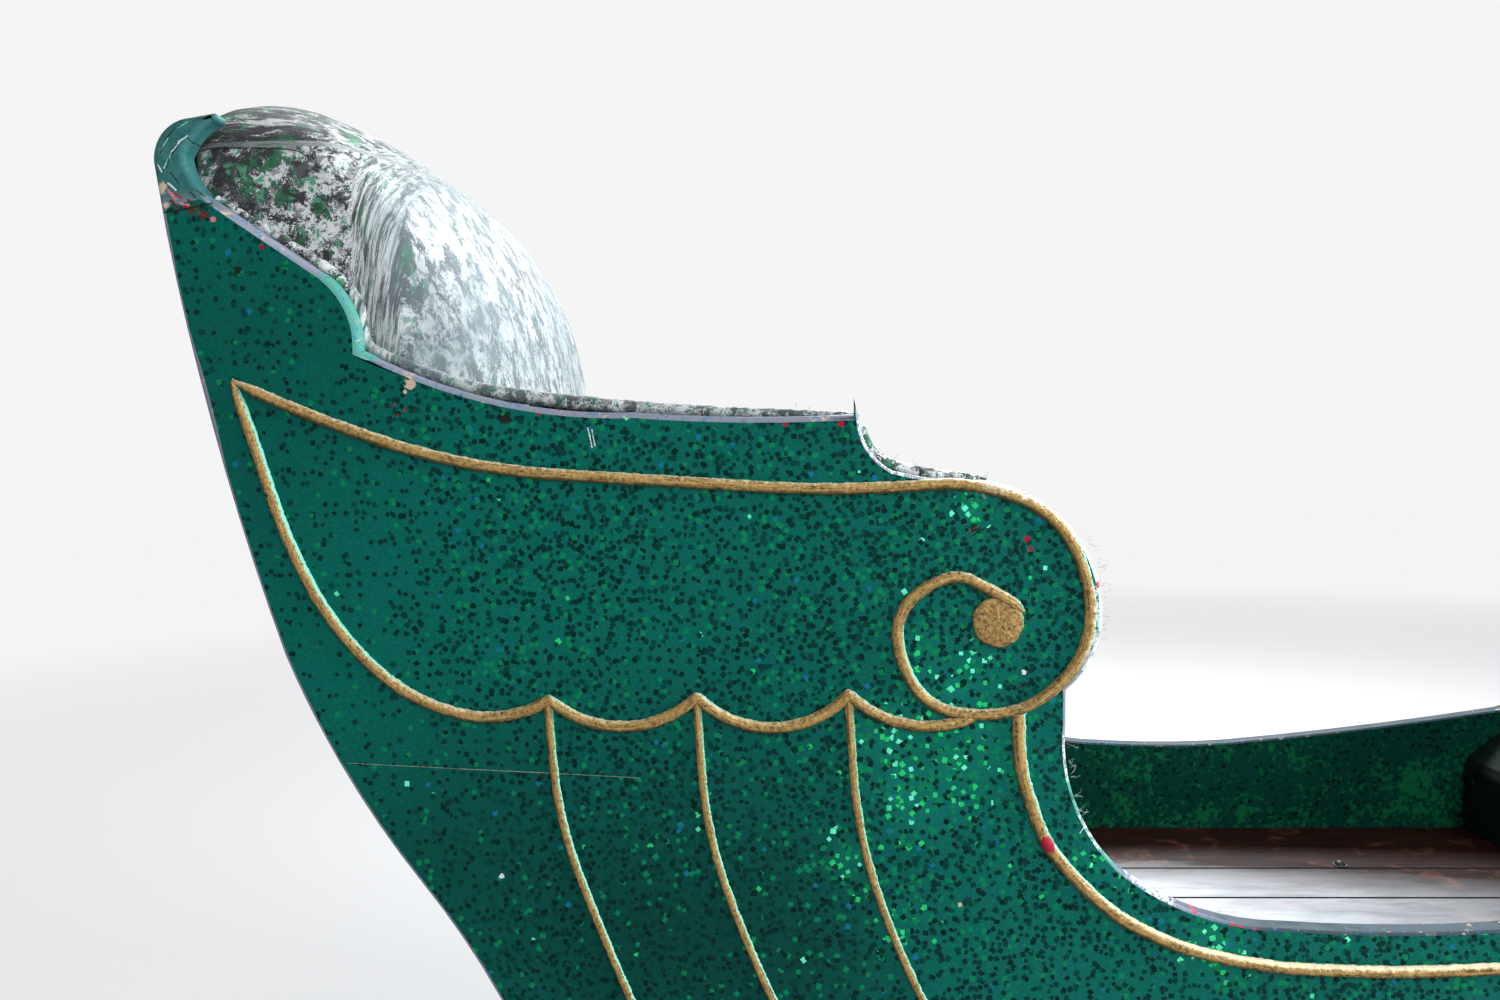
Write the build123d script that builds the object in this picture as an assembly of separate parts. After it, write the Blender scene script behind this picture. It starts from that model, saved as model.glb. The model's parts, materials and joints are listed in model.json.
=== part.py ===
from build123d import *
import math
import os

os.makedirs("parts", exist_ok=True)

# A horse drawn sleigh for two. +X is forwards, +Y is its left side, +Z is up, all in millimetres.
# Stations along X are measured from a point 324 mm behind the foremost point of the arms.
# At the end everything moves along X, so that the origin is the middle of the footprint on the floor.

# Body
body_width = 790.0        # over the outer faces of the side boards
side_thickness = 25.0
deck_top = 334.0          # the floor that the feet stand on
deck_thickness = 22.0
deck_rear = -285.0
deck_front = 1130.0       # rear face of the toe board
sill_height = 44.0        # lengthwise bearers under the deck
sill_width = 60.0
sill_spacing = 520.0      # between the middles of the two bearers
board_gap = 1.5

# Gilded half-rounds, by their radius
wing_bead_radius = 6.5
plume_radius = 4.6
front_plume_radius = 7.2
bead_flats = 8            # facets round a whole bead
boss_radius = 27.0        # round boss in the eye of each scroll
boss_height = 7.0

# Seat
seat_top = 690.0          # upper face of the seat board
seat_board_thickness = 20.0
seat_rear = -452.0
riser_front = 225.0       # front face of the riser under the seat
riser_thickness = 20.0
seat_overhang = 15.0
cleat_size = 30.0
cleat_start = 24.0        # of a cleat from the rear edge of the seat board
cushion_thickness = 100.0
cushion_rear = -300.0
soft_gap = 0.5            # between a soft pad and what it lies on
lining_thickness = 28.0   # padding on the inside of the arms

# Curved closing boards
stave_thickness = 16.0
back_inset = 3.0          # of the staves' outer face from the rear edge of the sides
back_stave_count = 10
crest_rise = 62.0         # of the crest board's middle over its ends
crest_thickness = 12.0
crest_end_height = 12.0
crest_gap = 5.0           # between the top stave and the crest board
dash_stave_count = 8
dash_rail_radius = 15.0
toe_thickness = 20.0
toe_height = 106.0

# Running gear
runner_track = 830.0      # between the middles of the two runners
runner_width = 42.0
runner_depth = 48.0
runner_rear = -480.0
curl_start = 1060.0       # where the runners begin to rise
shoe_thickness = 8.0
shoe_width = 34.0
bench_height = 52.0
bench_length = 60.0       # of a bench along X
bench_overhang = 34.0     # of a bench past the middle of the runner
rear_bench = -230.0
middle_bench = 300.0
front_bench = 830.0
knee_thickness = 40.0
knee_spread = 80.0        # how much wider a knee is at its top
brace_radius = 7.0
brace_reach = 150.0       # of a brace along the runner
foot_length = 60.0
foot_thickness = 5.0
iron_width = 30.0
draw_bar_size = 46.0
draw_bar_station = 1402.0
draw_bar_height = 250.0

# Shafts
fork_clearance = 16.0     # between a fork and the runner beside it
shaft_tip_spacing = 530.0
shaft_length = 2050.0     # from the pivot to the tip
shaft_width = 45.0
shaft_tip_width = 32.0
shaft_depth = 42.0
shaft_round = 9.0
shaft_rear = 46.0         # of the wood from the pivot
shaft_straight = 480.0    # of the straight stretch from the pivot
pivot_reach = 40.0        # of the pivot pin ahead of the draw bar
pin_radius = 8.0
pin_clearance = 0.1
ear_thickness = 8.0
ear_radius = 15.0
eye_width = 20.0
eye_side_gap = 1.0
eye_radius = 19.0
strap_length = 200.0
strap_thickness = 6.0
crossbar_station = 330.0  # from the pivot
crossbar_width = 46.0
crossbar_depth = 38.0
singletree_length = 600.0
singletree_radius = 21.0
singletree_end_radius = 15.0
singletree_lift = 6.0     # clear height over the crossbar
bolt_head_radius = 15.0
bolt_head_height = 8.0
trace_eye_radius = 10.0
trace_eye_rim = 11.0
trace_eye_reach = 46.0    # of the eye ahead of the singletree's middle
hook_thickness = 8.0

half_width = body_width / 2
inner_half = half_width - side_thickness
deck_bottom = deck_top - deck_thickness
sill_bottom = deck_bottom - sill_height
bench_bottom = sill_bottom - bench_height
runner_half = runner_track / 2
runner_top = shoe_thickness + runner_depth
deck_end = deck_front + toe_thickness


# An outline in the XZ plane is a start and then steps: one point is a straight run to it,
# two points are an arc through the first that ends at the second.
def outline(start, *steps, y=0.0):
    edges = []
    here = Vector(start[0], y, start[1])
    for step in steps:
        end = Vector(step[-1][0], y, step[-1][1])
        if len(step) == 2:
            edges.append(ThreePointArc(here, Vector(step[0][0], y, step[0][1]), end))
        else:
            edges.append(Line(here, end))
        here = end
    return edges


# A smooth line through points: each arc leaves in the direction in which the last one arrived.
def smooth_line(start, heading, *ends):
    edges = []
    here = Vector(start[0], 0, start[1])
    tangent = Vector(heading[0], 0, heading[1])
    for end in ends:
        edge = TangentArc(here, Vector(end[0], 0, end[1]), tangent=tangent)
        edges.append(edge)
        here = edge @ 1
        tangent = edge % 1
    return edges


def slab(edges, y_from, y_to):
    solid = extrude(Face(Wire(edges)), amount=y_to - y_from, dir=(0, 1, 0))
    return solid.moved(Location((0, y_from, 0)))


def block(x_range, y_range, z_range):
    ranges = (x_range, y_range, z_range)
    middle = [(low + high) / 2 for low, high in ranges]
    return Pos(*middle) * Box(*(high - low for low, high in ranges))


# A round piece whose axis lies along Y
def cross_rod(x, y, z, radius, length):
    return Pos(x, y, z) * Rot(90, 0, 0) * Cylinder(radius, length)


def span(middle, size):
    return middle - size / 2, middle + size / 2


def mirrored(shape):
    return mirror(shape, about=Plane.XZ)


parts = {}


def add_pair(name, right):
    parts[f"{name}_right"] = right
    parts[f"{name}_left"] = mirrored(right)


# Side boards, cut from one outline and split along the glued joint
side_bottom = deck_bottom - 18.0
back_top = (-671, 1306)
rear_edge = outline(
    (-290, side_bottom + 42),
    ((-345, 443), (-404, 529)),
    ((-478, 639), (-546, 778)),
    ((-615, 1015), (-660, 1231)),
    (back_top,),
)
side_outline = rear_edge + outline(
    back_top,
    ((-660, 1337), (-630, 1351)),      # curl at the top of the back
    ((-604, 1355),),
    ((-601, 1351), (-606, 1346)),
    ((-625, 1331), (-637, 1312)),      # notch where the padding tucks in
    ((-629, 1288), (-605, 1263)),
    ((-486, 1181),),
    ((-462, 1148), (-454, 1104)),      # shoulder over the arm
    ((-340, 1057), (-165, 1034)),      # arm
    ((-45, 1027.5), (72, 1029)),
    ((82, 991), (106, 969)),
    ((145, 961), (199, 958)),
    ((290, 909), (324, 819)),          # volute at the front of the arm
    ((315, 774), (286, 736)),
    ((286, 701),),
    ((297, 614), (340, 546)),          # entry
    ((408, 504), (517, 481)),
    ((616, 477), (736, 480)),
    ((930, 499.5), (1189, 534)),
    ((1290, 588), (1345, 681)),        # prow
    ((1367, 757), (1400, 824)),
    ((1463, 928), (1526, 871)),        # volute at the top of the prow
    ((1513, 832), (1476, 816)),
    ((1442, 766), (1430, 696)),
    ((1388, 551), (1303, 436)),
    ((1198, 334), (1068, side_bottom)),
    ((-230, side_bottom),),
    ((-277, side_bottom + 11), (-290, side_bottom + 42)),
)
joint_rear = (-520, 663)
joint_front = (340, 617)
whole_side = slab(side_outline, -half_width, -inner_half)
above_joint = slab(
    outline(joint_rear, (joint_front,), ((joint_front[0], 1500),), ((-800, 1500),), ((-800, 663),), (joint_rear,)),
    -half_width - 1,
    -inner_half + 1,
)
add_pair("side_board_upper", whole_side & above_joint)
add_pair("side_board_lower", whole_side - above_joint)


# Gilded half-round beads and bosses on the outer faces
outer_space = block((-900, 1700), (-half_width - 60, -half_width), (200, 1500))


def bead(edges, radius):
    path = Wire(edges).moved(Location((0, -half_width, 0)))
    profile = Plane(origin=path @ 0, z_dir=path % 0) * RegularPolygon(radius, bead_flats)
    return sweep(profile, path=path) & outer_space


def boss(x, z):
    return cross_rod(x, -half_width - boss_height / 2, z, boss_radius, boss_height)


wing_apex = (-593, 1073)
scroll_line = smooth_line(
    wing_apex, (0.90, -0.44),
    (-436, 1008), (-244, 969), (-33, 954), (145, 954), (246, 938), (303, 879), (315, 820), (303, 771),
    (268, 731), (216, 711), (167, 714), (127, 742), (110, 791), (126, 835), (172, 853), (214, 838),
)
wing_line = smooth_line(wing_apex, (0.32, -0.95), (-555, 953), (-517, 857), (-447, 763), (-349, 713), (-261, 727))
scallops = (
    ((-261, 727), (-183, 700), (-104, 728)),
    ((-104, 728), (-28, 698), (58, 729)),
    ((58, 729), (125, 700), (195, 711)),
)
wing_bead = bead(scroll_line, wing_bead_radius) + bead(wing_line, wing_bead_radius) + boss(215, 809)
for start, middle, end in scallops:
    wing_bead += bead(outline(start, (middle, end)), wing_bead_radius)
add_pair("wing_bead", wing_bead)

plume_lines = (
    smooth_line((-262, 715), (0.04, -1.0), (-257, 650), (-232, 538), (-180, 404), (-143, side_bottom + 16)),
    smooth_line((-103, 715), (0.04, -1.0), (-98, 640), (-75, 526), (-28, 407), (10, side_bottom + 16)),
    smooth_line((58, 715), (0.04, -1.0), (63, 640), (86, 522), (132, 407), (170, side_bottom + 16)),
)
plume_beads = [bead(line, plume_radius) for line in plume_lines]
front_plume_line = smooth_line(
    (239, 700), (0.0, -1.0),
    (246, 624), (288, 543), (377, 474), (517, 440), (660, 436), (918, 463), (1180, 495),
    (1298, 556), (1370, 655), (1398, 750), (1424, 815), (1476, 846),
)
plume_beads.append(bead(front_plume_line, front_plume_radius) + boss(1474, 872))
add_pair("plume_beads", Compound(plume_beads))


# Staves of a closing panel: flat boards across the body that follow a line, set in from it
def staves(line, count, inset, outward_side):
    boards = []
    for index in range(count):
        low = line @ (index / count)
        high = line @ ((index + 1) / count)
        along = (high - low).normalized()
        outward = Vector(along.Z, 0, -along.X) * outward_side
        middle = (low + high) / 2 - outward * (inset + stave_thickness / 2)
        plane = Plane(origin=middle, x_dir=outward, z_dir=along)
        boards.append(plane * Box(stave_thickness, 2 * inner_half, (high - low).length - board_gap))
    return Compound(boards)


parts["back_boards"] = staves(Wire(rear_edge), back_stave_count, back_inset, -1)
crest_x = back_top[0] + back_inset
crest_foot = back_top[1] + crest_gap
crest_end = crest_foot + crest_end_height
crest_face = Face(Wire([
    Line((crest_x, -inner_half, crest_foot), (crest_x, inner_half, crest_foot)),
    Line((crest_x, inner_half, crest_foot), (crest_x, inner_half, crest_end)),
    ThreePointArc(
        (crest_x, inner_half, crest_end), (crest_x, 0, crest_end + crest_rise), (crest_x, -inner_half, crest_end)
    ),
    Line((crest_x, -inner_half, crest_end), (crest_x, -inner_half, crest_foot)),
]))
parts["crest_board"] = extrude(crest_face, amount=crest_thickness, dir=(1, 0, 0))

dash_line = smooth_line((1214, 500), (0.75, 0.66), (1298, 588), (1360, 706), (1400, 812))
parts["dash_boards"] = staves(Wire(dash_line), dash_stave_count, -stave_thickness / 2, 1)
parts["dash_rail"] = cross_rod(1409, 0, 834, dash_rail_radius, 2 * inner_half)
toe_top = deck_top + toe_height
parts["toe_board"] = block((deck_front, deck_end), (-inner_half, inner_half), (deck_top, toe_top))
parts["foot_board"] = slab(
    outline(
        (deck_front, toe_top),
        ((deck_front + 6, toe_top + 14),),
        ((1200, toe_top + 66),),
        ((1212, toe_top + 50),),
        ((deck_end, toe_top),),
        ((deck_front, toe_top),),
    ),
    -inner_half,
    inner_half,
)


# Deck of lengthwise boards, on two bearers
board_shares = (205, 125, 130, 125, 205)
deck = []
seam = -inner_half
for share in board_shares:
    width = share / sum(board_shares) * 2 * inner_half
    low = max(-inner_half, seam + board_gap / 2)
    high = min(inner_half, seam + width - board_gap / 2)
    if inner_half - high < board_gap:
        high = inner_half
    if low + inner_half < board_gap:
        low = -inner_half
    deck.append(block((deck_rear, deck_end), (low, high), (deck_bottom, deck_top)))
    seam += width
parts["deck_boards"] = Compound(deck)
parts["body_sills"] = Compound([
    block((deck_rear, deck_end), span(side * sill_spacing / 2, sill_width), (sill_bottom, deck_bottom))
    for side in (-1, 1)
])


# Seat board on its riser and two cleats
seat_bottom = seat_top - seat_board_thickness
seat_front = riser_front + seat_overhang
parts["seat_board"] = block((seat_rear, seat_front), (-inner_half, inner_half), (seat_bottom, seat_top))
parts["seat_riser"] = block(
    (riser_front - riser_thickness, riser_front), (-inner_half, inner_half), (deck_top, seat_bottom)
)
parts["seat_cleats"] = Compound([
    block(
        (seat_rear + cleat_start, riser_front - riser_thickness),
        span(side * (inner_half - cleat_size / 2), cleat_size),
        (seat_bottom - cleat_size, seat_bottom),
    )
    for side in (-1, 1)
])


# Soft pads, each a plain closed solid
lining_inner = inner_half - soft_gap - lining_thickness
cushion_top = seat_top + cushion_thickness
cushion = block(
    (cushion_rear, seat_front), (-lining_inner + 2, lining_inner - 2), (seat_top + soft_gap, cushion_top)
)
parts["seat_cushion"] = fillet(cushion.edges(), 18)

# The padded back is fuller in its middle than at its ends, so its outline is a blend of two.
pad_foot = cushion_top + 12.0
pad_end = ((-647, 1290), (-619, 1326), (-530, 1321), (-472, 1240), (-440, 1120), (-405, 960), (-418, pad_foot))
pad_middle = ((-636, 1306), (-616, 1405), (-555, 1399), (-422, 1322), (-332, 1180), (-306, 990), (-320, pad_foot))
pad_rear = (-508, pad_foot)
pad_fullness = ((-inner_half + soft_gap, 0.0), (-250, 0.78), (0, 1.0), (250, 0.78), (inner_half - soft_gap, 0.0))


def pad_section(y, fullness):
    points = [
        (end[0] + (middle[0] - end[0]) * fullness, end[1] + (middle[1] - end[1]) * fullness)
        for end, middle in zip(pad_end, pad_middle)
    ]
    return Face(Wire(outline(
        points[0], points[1:3], points[3:5], points[5:7], (pad_rear,), (points[0],), y=y,
    )))


parts["back_cushion"] = loft([pad_section(y, fullness) for y, fullness in pad_fullness])

lining_foot = cushion_top + 2.0
lining_rear = -286.0
lining = slab(
    outline(
        (lining_rear, lining_foot),
        ((270, lining_foot),),
        ((270, 870),),
        ((246, 925), (196, 962)),
        ((145, 966), (106, 975)),
        ((84, 994), (74, 1036)),
        ((-60, 1034), (-165, 1041)),
        ((lining_rear, 1052),),
        ((lining_rear, lining_foot),),
    ),
    -inner_half + soft_gap,
    -lining_inner,
)
add_pair("arm_lining", lining)


# Runners with their steel shoes, as ribbons along one line
def ribbon(path, depth, y_middle, width):
    face = Face(path.offset_2d(depth / 2, side=Side.BOTH))
    solid = extrude(face, amount=width / 2, dir=(0, 1, 0), both=True)
    return solid.moved(Location((0, y_middle, 0)))


runner_middle = shoe_thickness + runner_depth / 2
runner_edges = outline((runner_rear, runner_middle), ((curl_start, runner_middle),))
runner_edges += smooth_line(
    (curl_start, runner_middle), (1, 0), (1335, 118), (1462, 312), (1472, 452), (1430, 506)
)
runner_path = Wire(runner_edges)
add_pair("runner", ribbon(runner_path, runner_depth, -runner_half, runner_width))
shoe_path = runner_path.offset_2d((runner_depth + shoe_thickness) / 2, side=Side.LEFT, closed=False)
add_pair("shoe", ribbon(shoe_path, shoe_thickness, -runner_half, shoe_width))


# Benches across the runners, on knees that widen inwards towards their top
bench_reach = runner_half + bench_overhang
knee_outer = -runner_half - runner_width / 2
knee_inner = -runner_half + runner_width / 2
benches = []
knees = []
for station in (rear_bench, middle_bench, front_bench):
    benches.append(block(span(station, bench_length), (-bench_reach, bench_reach), (bench_bottom, sill_bottom)))
    foot_inner = Vector(station, knee_inner, runner_top)
    head_inner = Vector(station, knee_inner + knee_spread, bench_bottom)
    waist = Vector(station, knee_inner + knee_spread * 0.18, runner_top + (bench_bottom - runner_top) * 0.62)
    foot_outer = Vector(station, knee_outer, runner_top)
    head_outer = Vector(station, knee_outer, bench_bottom)
    knee_face = Face(Wire([
        Line(foot_outer, foot_inner),
        ThreePointArc(foot_inner, waist, head_inner),
        Line(head_inner, head_outer),
        Line(head_outer, foot_outer),
    ]))
    knees.append(extrude(knee_face, amount=knee_thickness / 2, dir=(1, 0, 0), both=True))
parts["benches"] = Compound(benches)
add_pair("knees", Compound(knees))


# Iron braces from the rear and front benches down to the runners
def brace(bench_face, direction):
    top = Vector(bench_face, -runner_half, bench_bottom + bench_height / 2)
    foot_x = bench_face + direction * brace_reach
    bottom = Vector(foot_x, -runner_half, runner_top)
    along = (bottom - top).normalized()
    middle = Plane(origin=(top + bottom) / 2, z_dir=along)
    rod = middle * Cylinder(brace_radius, (bottom - top).length + 8 * brace_radius)
    room = block(
        sorted((bench_face, foot_x + direction * foot_length)),
        span(-runner_half, 2 * iron_width),
        (runner_top, sill_bottom),
    )
    foot = block(
        span(foot_x, foot_length), span(-runner_half, iron_width), (runner_top, runner_top + foot_thickness)
    )
    plate = block(
        sorted((bench_face, bench_face + direction * foot_thickness)),
        span(-runner_half, iron_width),
        (bench_bottom + 4, sill_bottom - 4),
    )
    return (rod & room) + foot + plate


braces = []
for station in (rear_bench, front_bench):
    for direction in (-1, 1):
        braces.append(brace(station + direction * bench_length / 2, direction))
add_pair("braces", Compound(braces))


# Draw bar between the runner noses, with an iron fork and pin for each shaft
half_bar = draw_bar_size / 2
bar_front = draw_bar_station + half_bar
bar_reach = runner_half - runner_width / 2
parts["draw_bar"] = block(
    span(draw_bar_station, draw_bar_size), (-bar_reach, bar_reach), span(draw_bar_height, draw_bar_size)
)
pivot_x = bar_front + pivot_reach
pivot_z = draw_bar_height
ear_offset = (eye_width + ear_thickness) / 2 + eye_side_gap
fork_half = ear_offset + ear_thickness + 5.0
shaft_spacing = 2 * (bar_reach - fork_clearance - fork_half)
forks = []
for side in (-1, 1):
    middle = side * shaft_spacing / 2
    fork = block(
        (bar_front, bar_front + strap_thickness),
        span(middle, 2 * fork_half),
        span(pivot_z, draw_bar_size),
    )
    for ear_side in (-1, 1):
        ear_y = middle + ear_side * ear_offset
        fork += block((bar_front, pivot_x), span(ear_y, ear_thickness), span(pivot_z, 2 * ear_radius))
        fork += cross_rod(pivot_x, ear_y, pivot_z, ear_radius, ear_thickness)
    fork += cross_rod(pivot_x, middle, pivot_z, pin_radius, 2 * ear_offset + 2 * ear_thickness)
    forks.append(fork)
parts["shaft_couplings"] = Compound(forks)


# Shafts are drawn level about the pivot, and then tilted until their tips rest on the floor.
tip_swing = math.hypot(shaft_length, shaft_depth / 2)
tilt = math.degrees(math.asin(pivot_z / tip_swing) - math.atan2(shaft_depth / 2, shaft_length))
rest = Pos(pivot_x, 0, pivot_z) * Rot(0, tilt, 0)


def tilted(shape):
    return shape.moved(rest)


shaft_y = -shaft_spacing / 2
tip_y = -shaft_tip_spacing / 2
bow_x = (shaft_straight + shaft_length) / 2
bow_y = shaft_y + (tip_y - shaft_y) * 0.27
half_shaft = shaft_width / 2
half_tip = shaft_tip_width / 2
half_bow = (half_shaft + half_tip) / 2
shaft_edges = [
    Line((shaft_rear, shaft_y - half_shaft, 0), (shaft_straight, shaft_y - half_shaft, 0)),
    ThreePointArc(
        (shaft_straight, shaft_y - half_shaft, 0), (bow_x, bow_y - half_bow, 0),
        (shaft_length - half_tip, tip_y - half_tip, 0),
    ),
    ThreePointArc(
        (shaft_length - half_tip, tip_y - half_tip, 0), (shaft_length, tip_y, 0),
        (shaft_length - half_tip, tip_y + half_tip, 0),
    ),
    ThreePointArc(
        (shaft_length - half_tip, tip_y + half_tip, 0), (bow_x, bow_y + half_bow, 0),
        (shaft_straight, shaft_y + half_shaft, 0),
    ),
    Line((shaft_straight, shaft_y + half_shaft, 0), (shaft_rear, shaft_y + half_shaft, 0)),
    Line((shaft_rear, shaft_y + half_shaft, 0), (shaft_rear, shaft_y - half_shaft, 0)),
]
shaft = extrude(Face(Wire(shaft_edges)), amount=shaft_depth / 2, dir=(0, 0, 1), both=True)
add_pair("shaft", tilted(shaft))

irons = []
for side in (-1, 1):
    middle = side * shaft_spacing / 2
    width = span(middle, eye_width)
    strap_low = -shaft_depth / 2 - strap_thickness
    iron = cross_rod(0, middle, 0, eye_radius, eye_width)
    iron += block((0, shaft_rear), width, (-strap_thickness, strap_thickness))
    iron += block((shaft_rear - strap_thickness, shaft_rear), width, (strap_low, strap_thickness))
    iron += block((shaft_rear - strap_thickness, shaft_rear + strap_length), width, (strap_low, -shaft_depth / 2))
    iron -= cross_rod(0, middle, 0, pin_radius + pin_clearance, 2 * eye_width)
    irons.append(tilted(iron))
parts["shaft_irons"] = Compound(irons)

crossbar_reach = (shaft_spacing - shaft_width) / 2
parts["crossbar"] = tilted(block(
    span(crossbar_station, crossbar_width), (-crossbar_reach, crossbar_reach), span(0, crossbar_depth)
))

# Singletree, turned with a taper, on its bolt over the middle of the crossbar
tree_height = crossbar_depth / 2 + singletree_lift + singletree_radius
tree_half = singletree_length / 2
tree_profile = Face(Wire([
    Line((0, -tree_half, 0), (0, tree_half, 0)),
    Line((0, tree_half, 0), (singletree_end_radius, tree_half, 0)),
    ThreePointArc(
        (singletree_end_radius, tree_half, 0), (singletree_radius, 0, 0), (singletree_end_radius, -tree_half, 0)
    ),
    Line((singletree_end_radius, -tree_half, 0), (0, -tree_half, 0)),
]))
tree = Pos(crossbar_station, 0, tree_height) * revolve(tree_profile, axis=Axis.Y)
tree -= Pos(crossbar_station, 0, tree_height) * Cylinder(pin_radius + pin_clearance, 4 * singletree_radius)
parts["singletree"] = tilted(tree)

on_crossbar = Pos(crossbar_station, 0, crossbar_depth / 2)
standing = (Align.CENTER, Align.CENTER, Align.MIN)
bolt_height = singletree_lift + 2 * singletree_radius + 0.3
bolt = on_crossbar * Cylinder(pin_radius, bolt_height, align=standing)
bolt += on_crossbar * Cylinder(2 * pin_radius, singletree_lift - 0.3, align=standing)
bolt += on_crossbar * Pos(0, 0, bolt_height) * Cylinder(bolt_head_radius, bolt_head_height, align=standing)
parts["pivot_bolt"] = tilted(bolt)

hooks = []
for side in (-1, 1):
    hook_y = side * (singletree_length + hook_thickness) / 2
    eye_x = crossbar_station + trace_eye_reach
    hook = block((crossbar_station, eye_x), span(hook_y, hook_thickness), span(tree_height, 24))
    hook += cross_rod(eye_x, hook_y, tree_height, trace_eye_radius + trace_eye_rim, hook_thickness)
    hook += cross_rod(crossbar_station, hook_y, tree_height, singletree_end_radius + 3, hook_thickness)
    hook -= cross_rod(eye_x, hook_y, tree_height, trace_eye_radius, 2 * hook_thickness)
    hooks.append(tilted(hook))
parts["trace_hooks"] = Compound(hooks)


# The origin goes to the middle of the footprint
boxes = [shape.bounding_box() for shape in parts.values()]
rearmost = min(box.min.X for box in boxes)
foremost = max(box.max.X for box in boxes)
shift = -(rearmost + foremost) / 2
for name, shape in parts.items():
    solids = [solid.moved(Location((shift, 0, 0))) for solid in shape.solids()]
    export_step(Compound(solids), f"parts/{name}.step")

print("length", round(foremost - rearmost, 2), "shift", round(shift, 3))
print("shaft pivot", round(pivot_x + shift, 3), pivot_z, "tilt", round(tilt, 4))
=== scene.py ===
import bpy
import bmesh
import json
import math
import random
from mathutils import Matrix, Vector, noise

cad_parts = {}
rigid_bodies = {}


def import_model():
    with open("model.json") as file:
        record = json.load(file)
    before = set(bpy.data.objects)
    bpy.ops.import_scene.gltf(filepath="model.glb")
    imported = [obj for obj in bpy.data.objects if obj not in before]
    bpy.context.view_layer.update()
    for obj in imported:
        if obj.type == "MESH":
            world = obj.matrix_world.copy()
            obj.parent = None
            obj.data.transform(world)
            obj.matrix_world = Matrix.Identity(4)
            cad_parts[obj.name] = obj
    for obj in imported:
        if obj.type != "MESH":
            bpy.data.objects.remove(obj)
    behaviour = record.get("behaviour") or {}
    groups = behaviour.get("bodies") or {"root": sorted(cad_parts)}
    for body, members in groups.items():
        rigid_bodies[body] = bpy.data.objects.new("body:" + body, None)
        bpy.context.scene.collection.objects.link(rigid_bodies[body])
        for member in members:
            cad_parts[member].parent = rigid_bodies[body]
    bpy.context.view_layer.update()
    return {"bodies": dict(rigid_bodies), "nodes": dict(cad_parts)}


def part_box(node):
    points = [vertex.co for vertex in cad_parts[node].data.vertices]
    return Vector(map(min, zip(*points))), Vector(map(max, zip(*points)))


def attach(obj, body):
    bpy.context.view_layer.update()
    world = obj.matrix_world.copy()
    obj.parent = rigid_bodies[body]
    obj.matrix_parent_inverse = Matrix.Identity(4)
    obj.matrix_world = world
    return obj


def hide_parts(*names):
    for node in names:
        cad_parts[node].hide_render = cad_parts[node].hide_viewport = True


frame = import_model()
nodes = frame["nodes"]
print("stage: frame loaded,", len(nodes), "nodes")

# Lengths in mm below are measured from the camera's station on the sleigh, which lies here on the frame's X
moveX = -1.416719
halfWidth = 0.395
innerHalf = 0.370
bothSides = ((-1, "right"), (1, "left"))


def rgb(red, green, blue):
    # 0 to 255 as a painter's swatch reads them, to the shader's linear values
    def linear(value):
        value = value / 255
        return value / 12.92 if value <= 0.04045 else ((value + 0.055) / 1.055) ** 2.4
    return (linear(red), linear(green), linear(blue), 1.0)


def sceneObject(name, data):
    item = bpy.data.objects.new(name, data)
    bpy.context.scene.collection.objects.link(item)
    return item


# Camera: a 28 mm lens a metre over the floor, turned a little to the rear of the sleigh

camera = {"lens": 28.0, "sensor": 36.0, "picture": (1500, 1000), "place": (moveX, -1.620, 1.000), "yaw": 2.05,
          "pitch": 2.8, "roll": 0.75}


def cameraAxes():
    yaw, pitch, roll = (math.radians(camera[key]) for key in ("yaw", "pitch", "roll"))
    look = Vector((-math.sin(yaw) * math.cos(pitch), math.cos(yaw) * math.cos(pitch), -math.sin(pitch)))
    side = look.cross(Vector((0, 0, 1))).normalized()
    up = side.cross(look)
    right = side * math.cos(roll) - up * math.sin(roll)
    return right, up * math.cos(roll) + side * math.sin(roll), look


camRight, camUp, camLook = cameraAxes()


def onSide(px, py, y=-halfWidth):
    # the place in the side board's plane, or in one beside it, under a point of the picture
    width, height = camera["picture"]
    focal = camera["lens"] / camera["sensor"] * width
    ray = camLook + camRight * ((px - width / 2) / focal) + camUp * ((height / 2 - py) / focal)
    eye = Vector(camera["place"])
    return eye + ray * ((y - eye.y) / ray.y)


camData = bpy.data.cameras.new("camera")
camData.lens = camera["lens"]
camData.sensor_width = camera["sensor"]
camData.clip_end = 60
camObject = sceneObject("camera", camData)
turn = Matrix((camRight, camUp, -camLook)).transposed().to_4x4()
camObject.matrix_world = Matrix.Translation(Vector(camera["place"])) @ turn
bpy.context.scene.camera = camObject


# Shader helpers

def link(tree, source, target):
    if isinstance(source, bpy.types.NodeSocket):
        tree.links.new(source, target)
    else:
        target.default_value = source


def add(tree, kind, values=(), **settings):
    item = tree.nodes.new(kind)
    for key, value in settings.items():
        setattr(item, key, value)
    for key, value in dict(values).items():
        link(tree, value, item.inputs[key])
    return item


def calc(tree, operation, first, second=0.0, third=0.0, clamp=False):
    item = add(tree, "ShaderNodeMath", operation=operation, use_clamp=clamp)
    for index, value in enumerate((first, second, third)):
        link(tree, value, item.inputs[index])
    return item.outputs[0]


def plus(tree, first, second):
    return calc(tree, "ADD", first, second)


def less(tree, first, second):
    return calc(tree, "SUBTRACT", first, second)


def times(tree, first, second):
    return calc(tree, "MULTIPLY", first, second)


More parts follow.
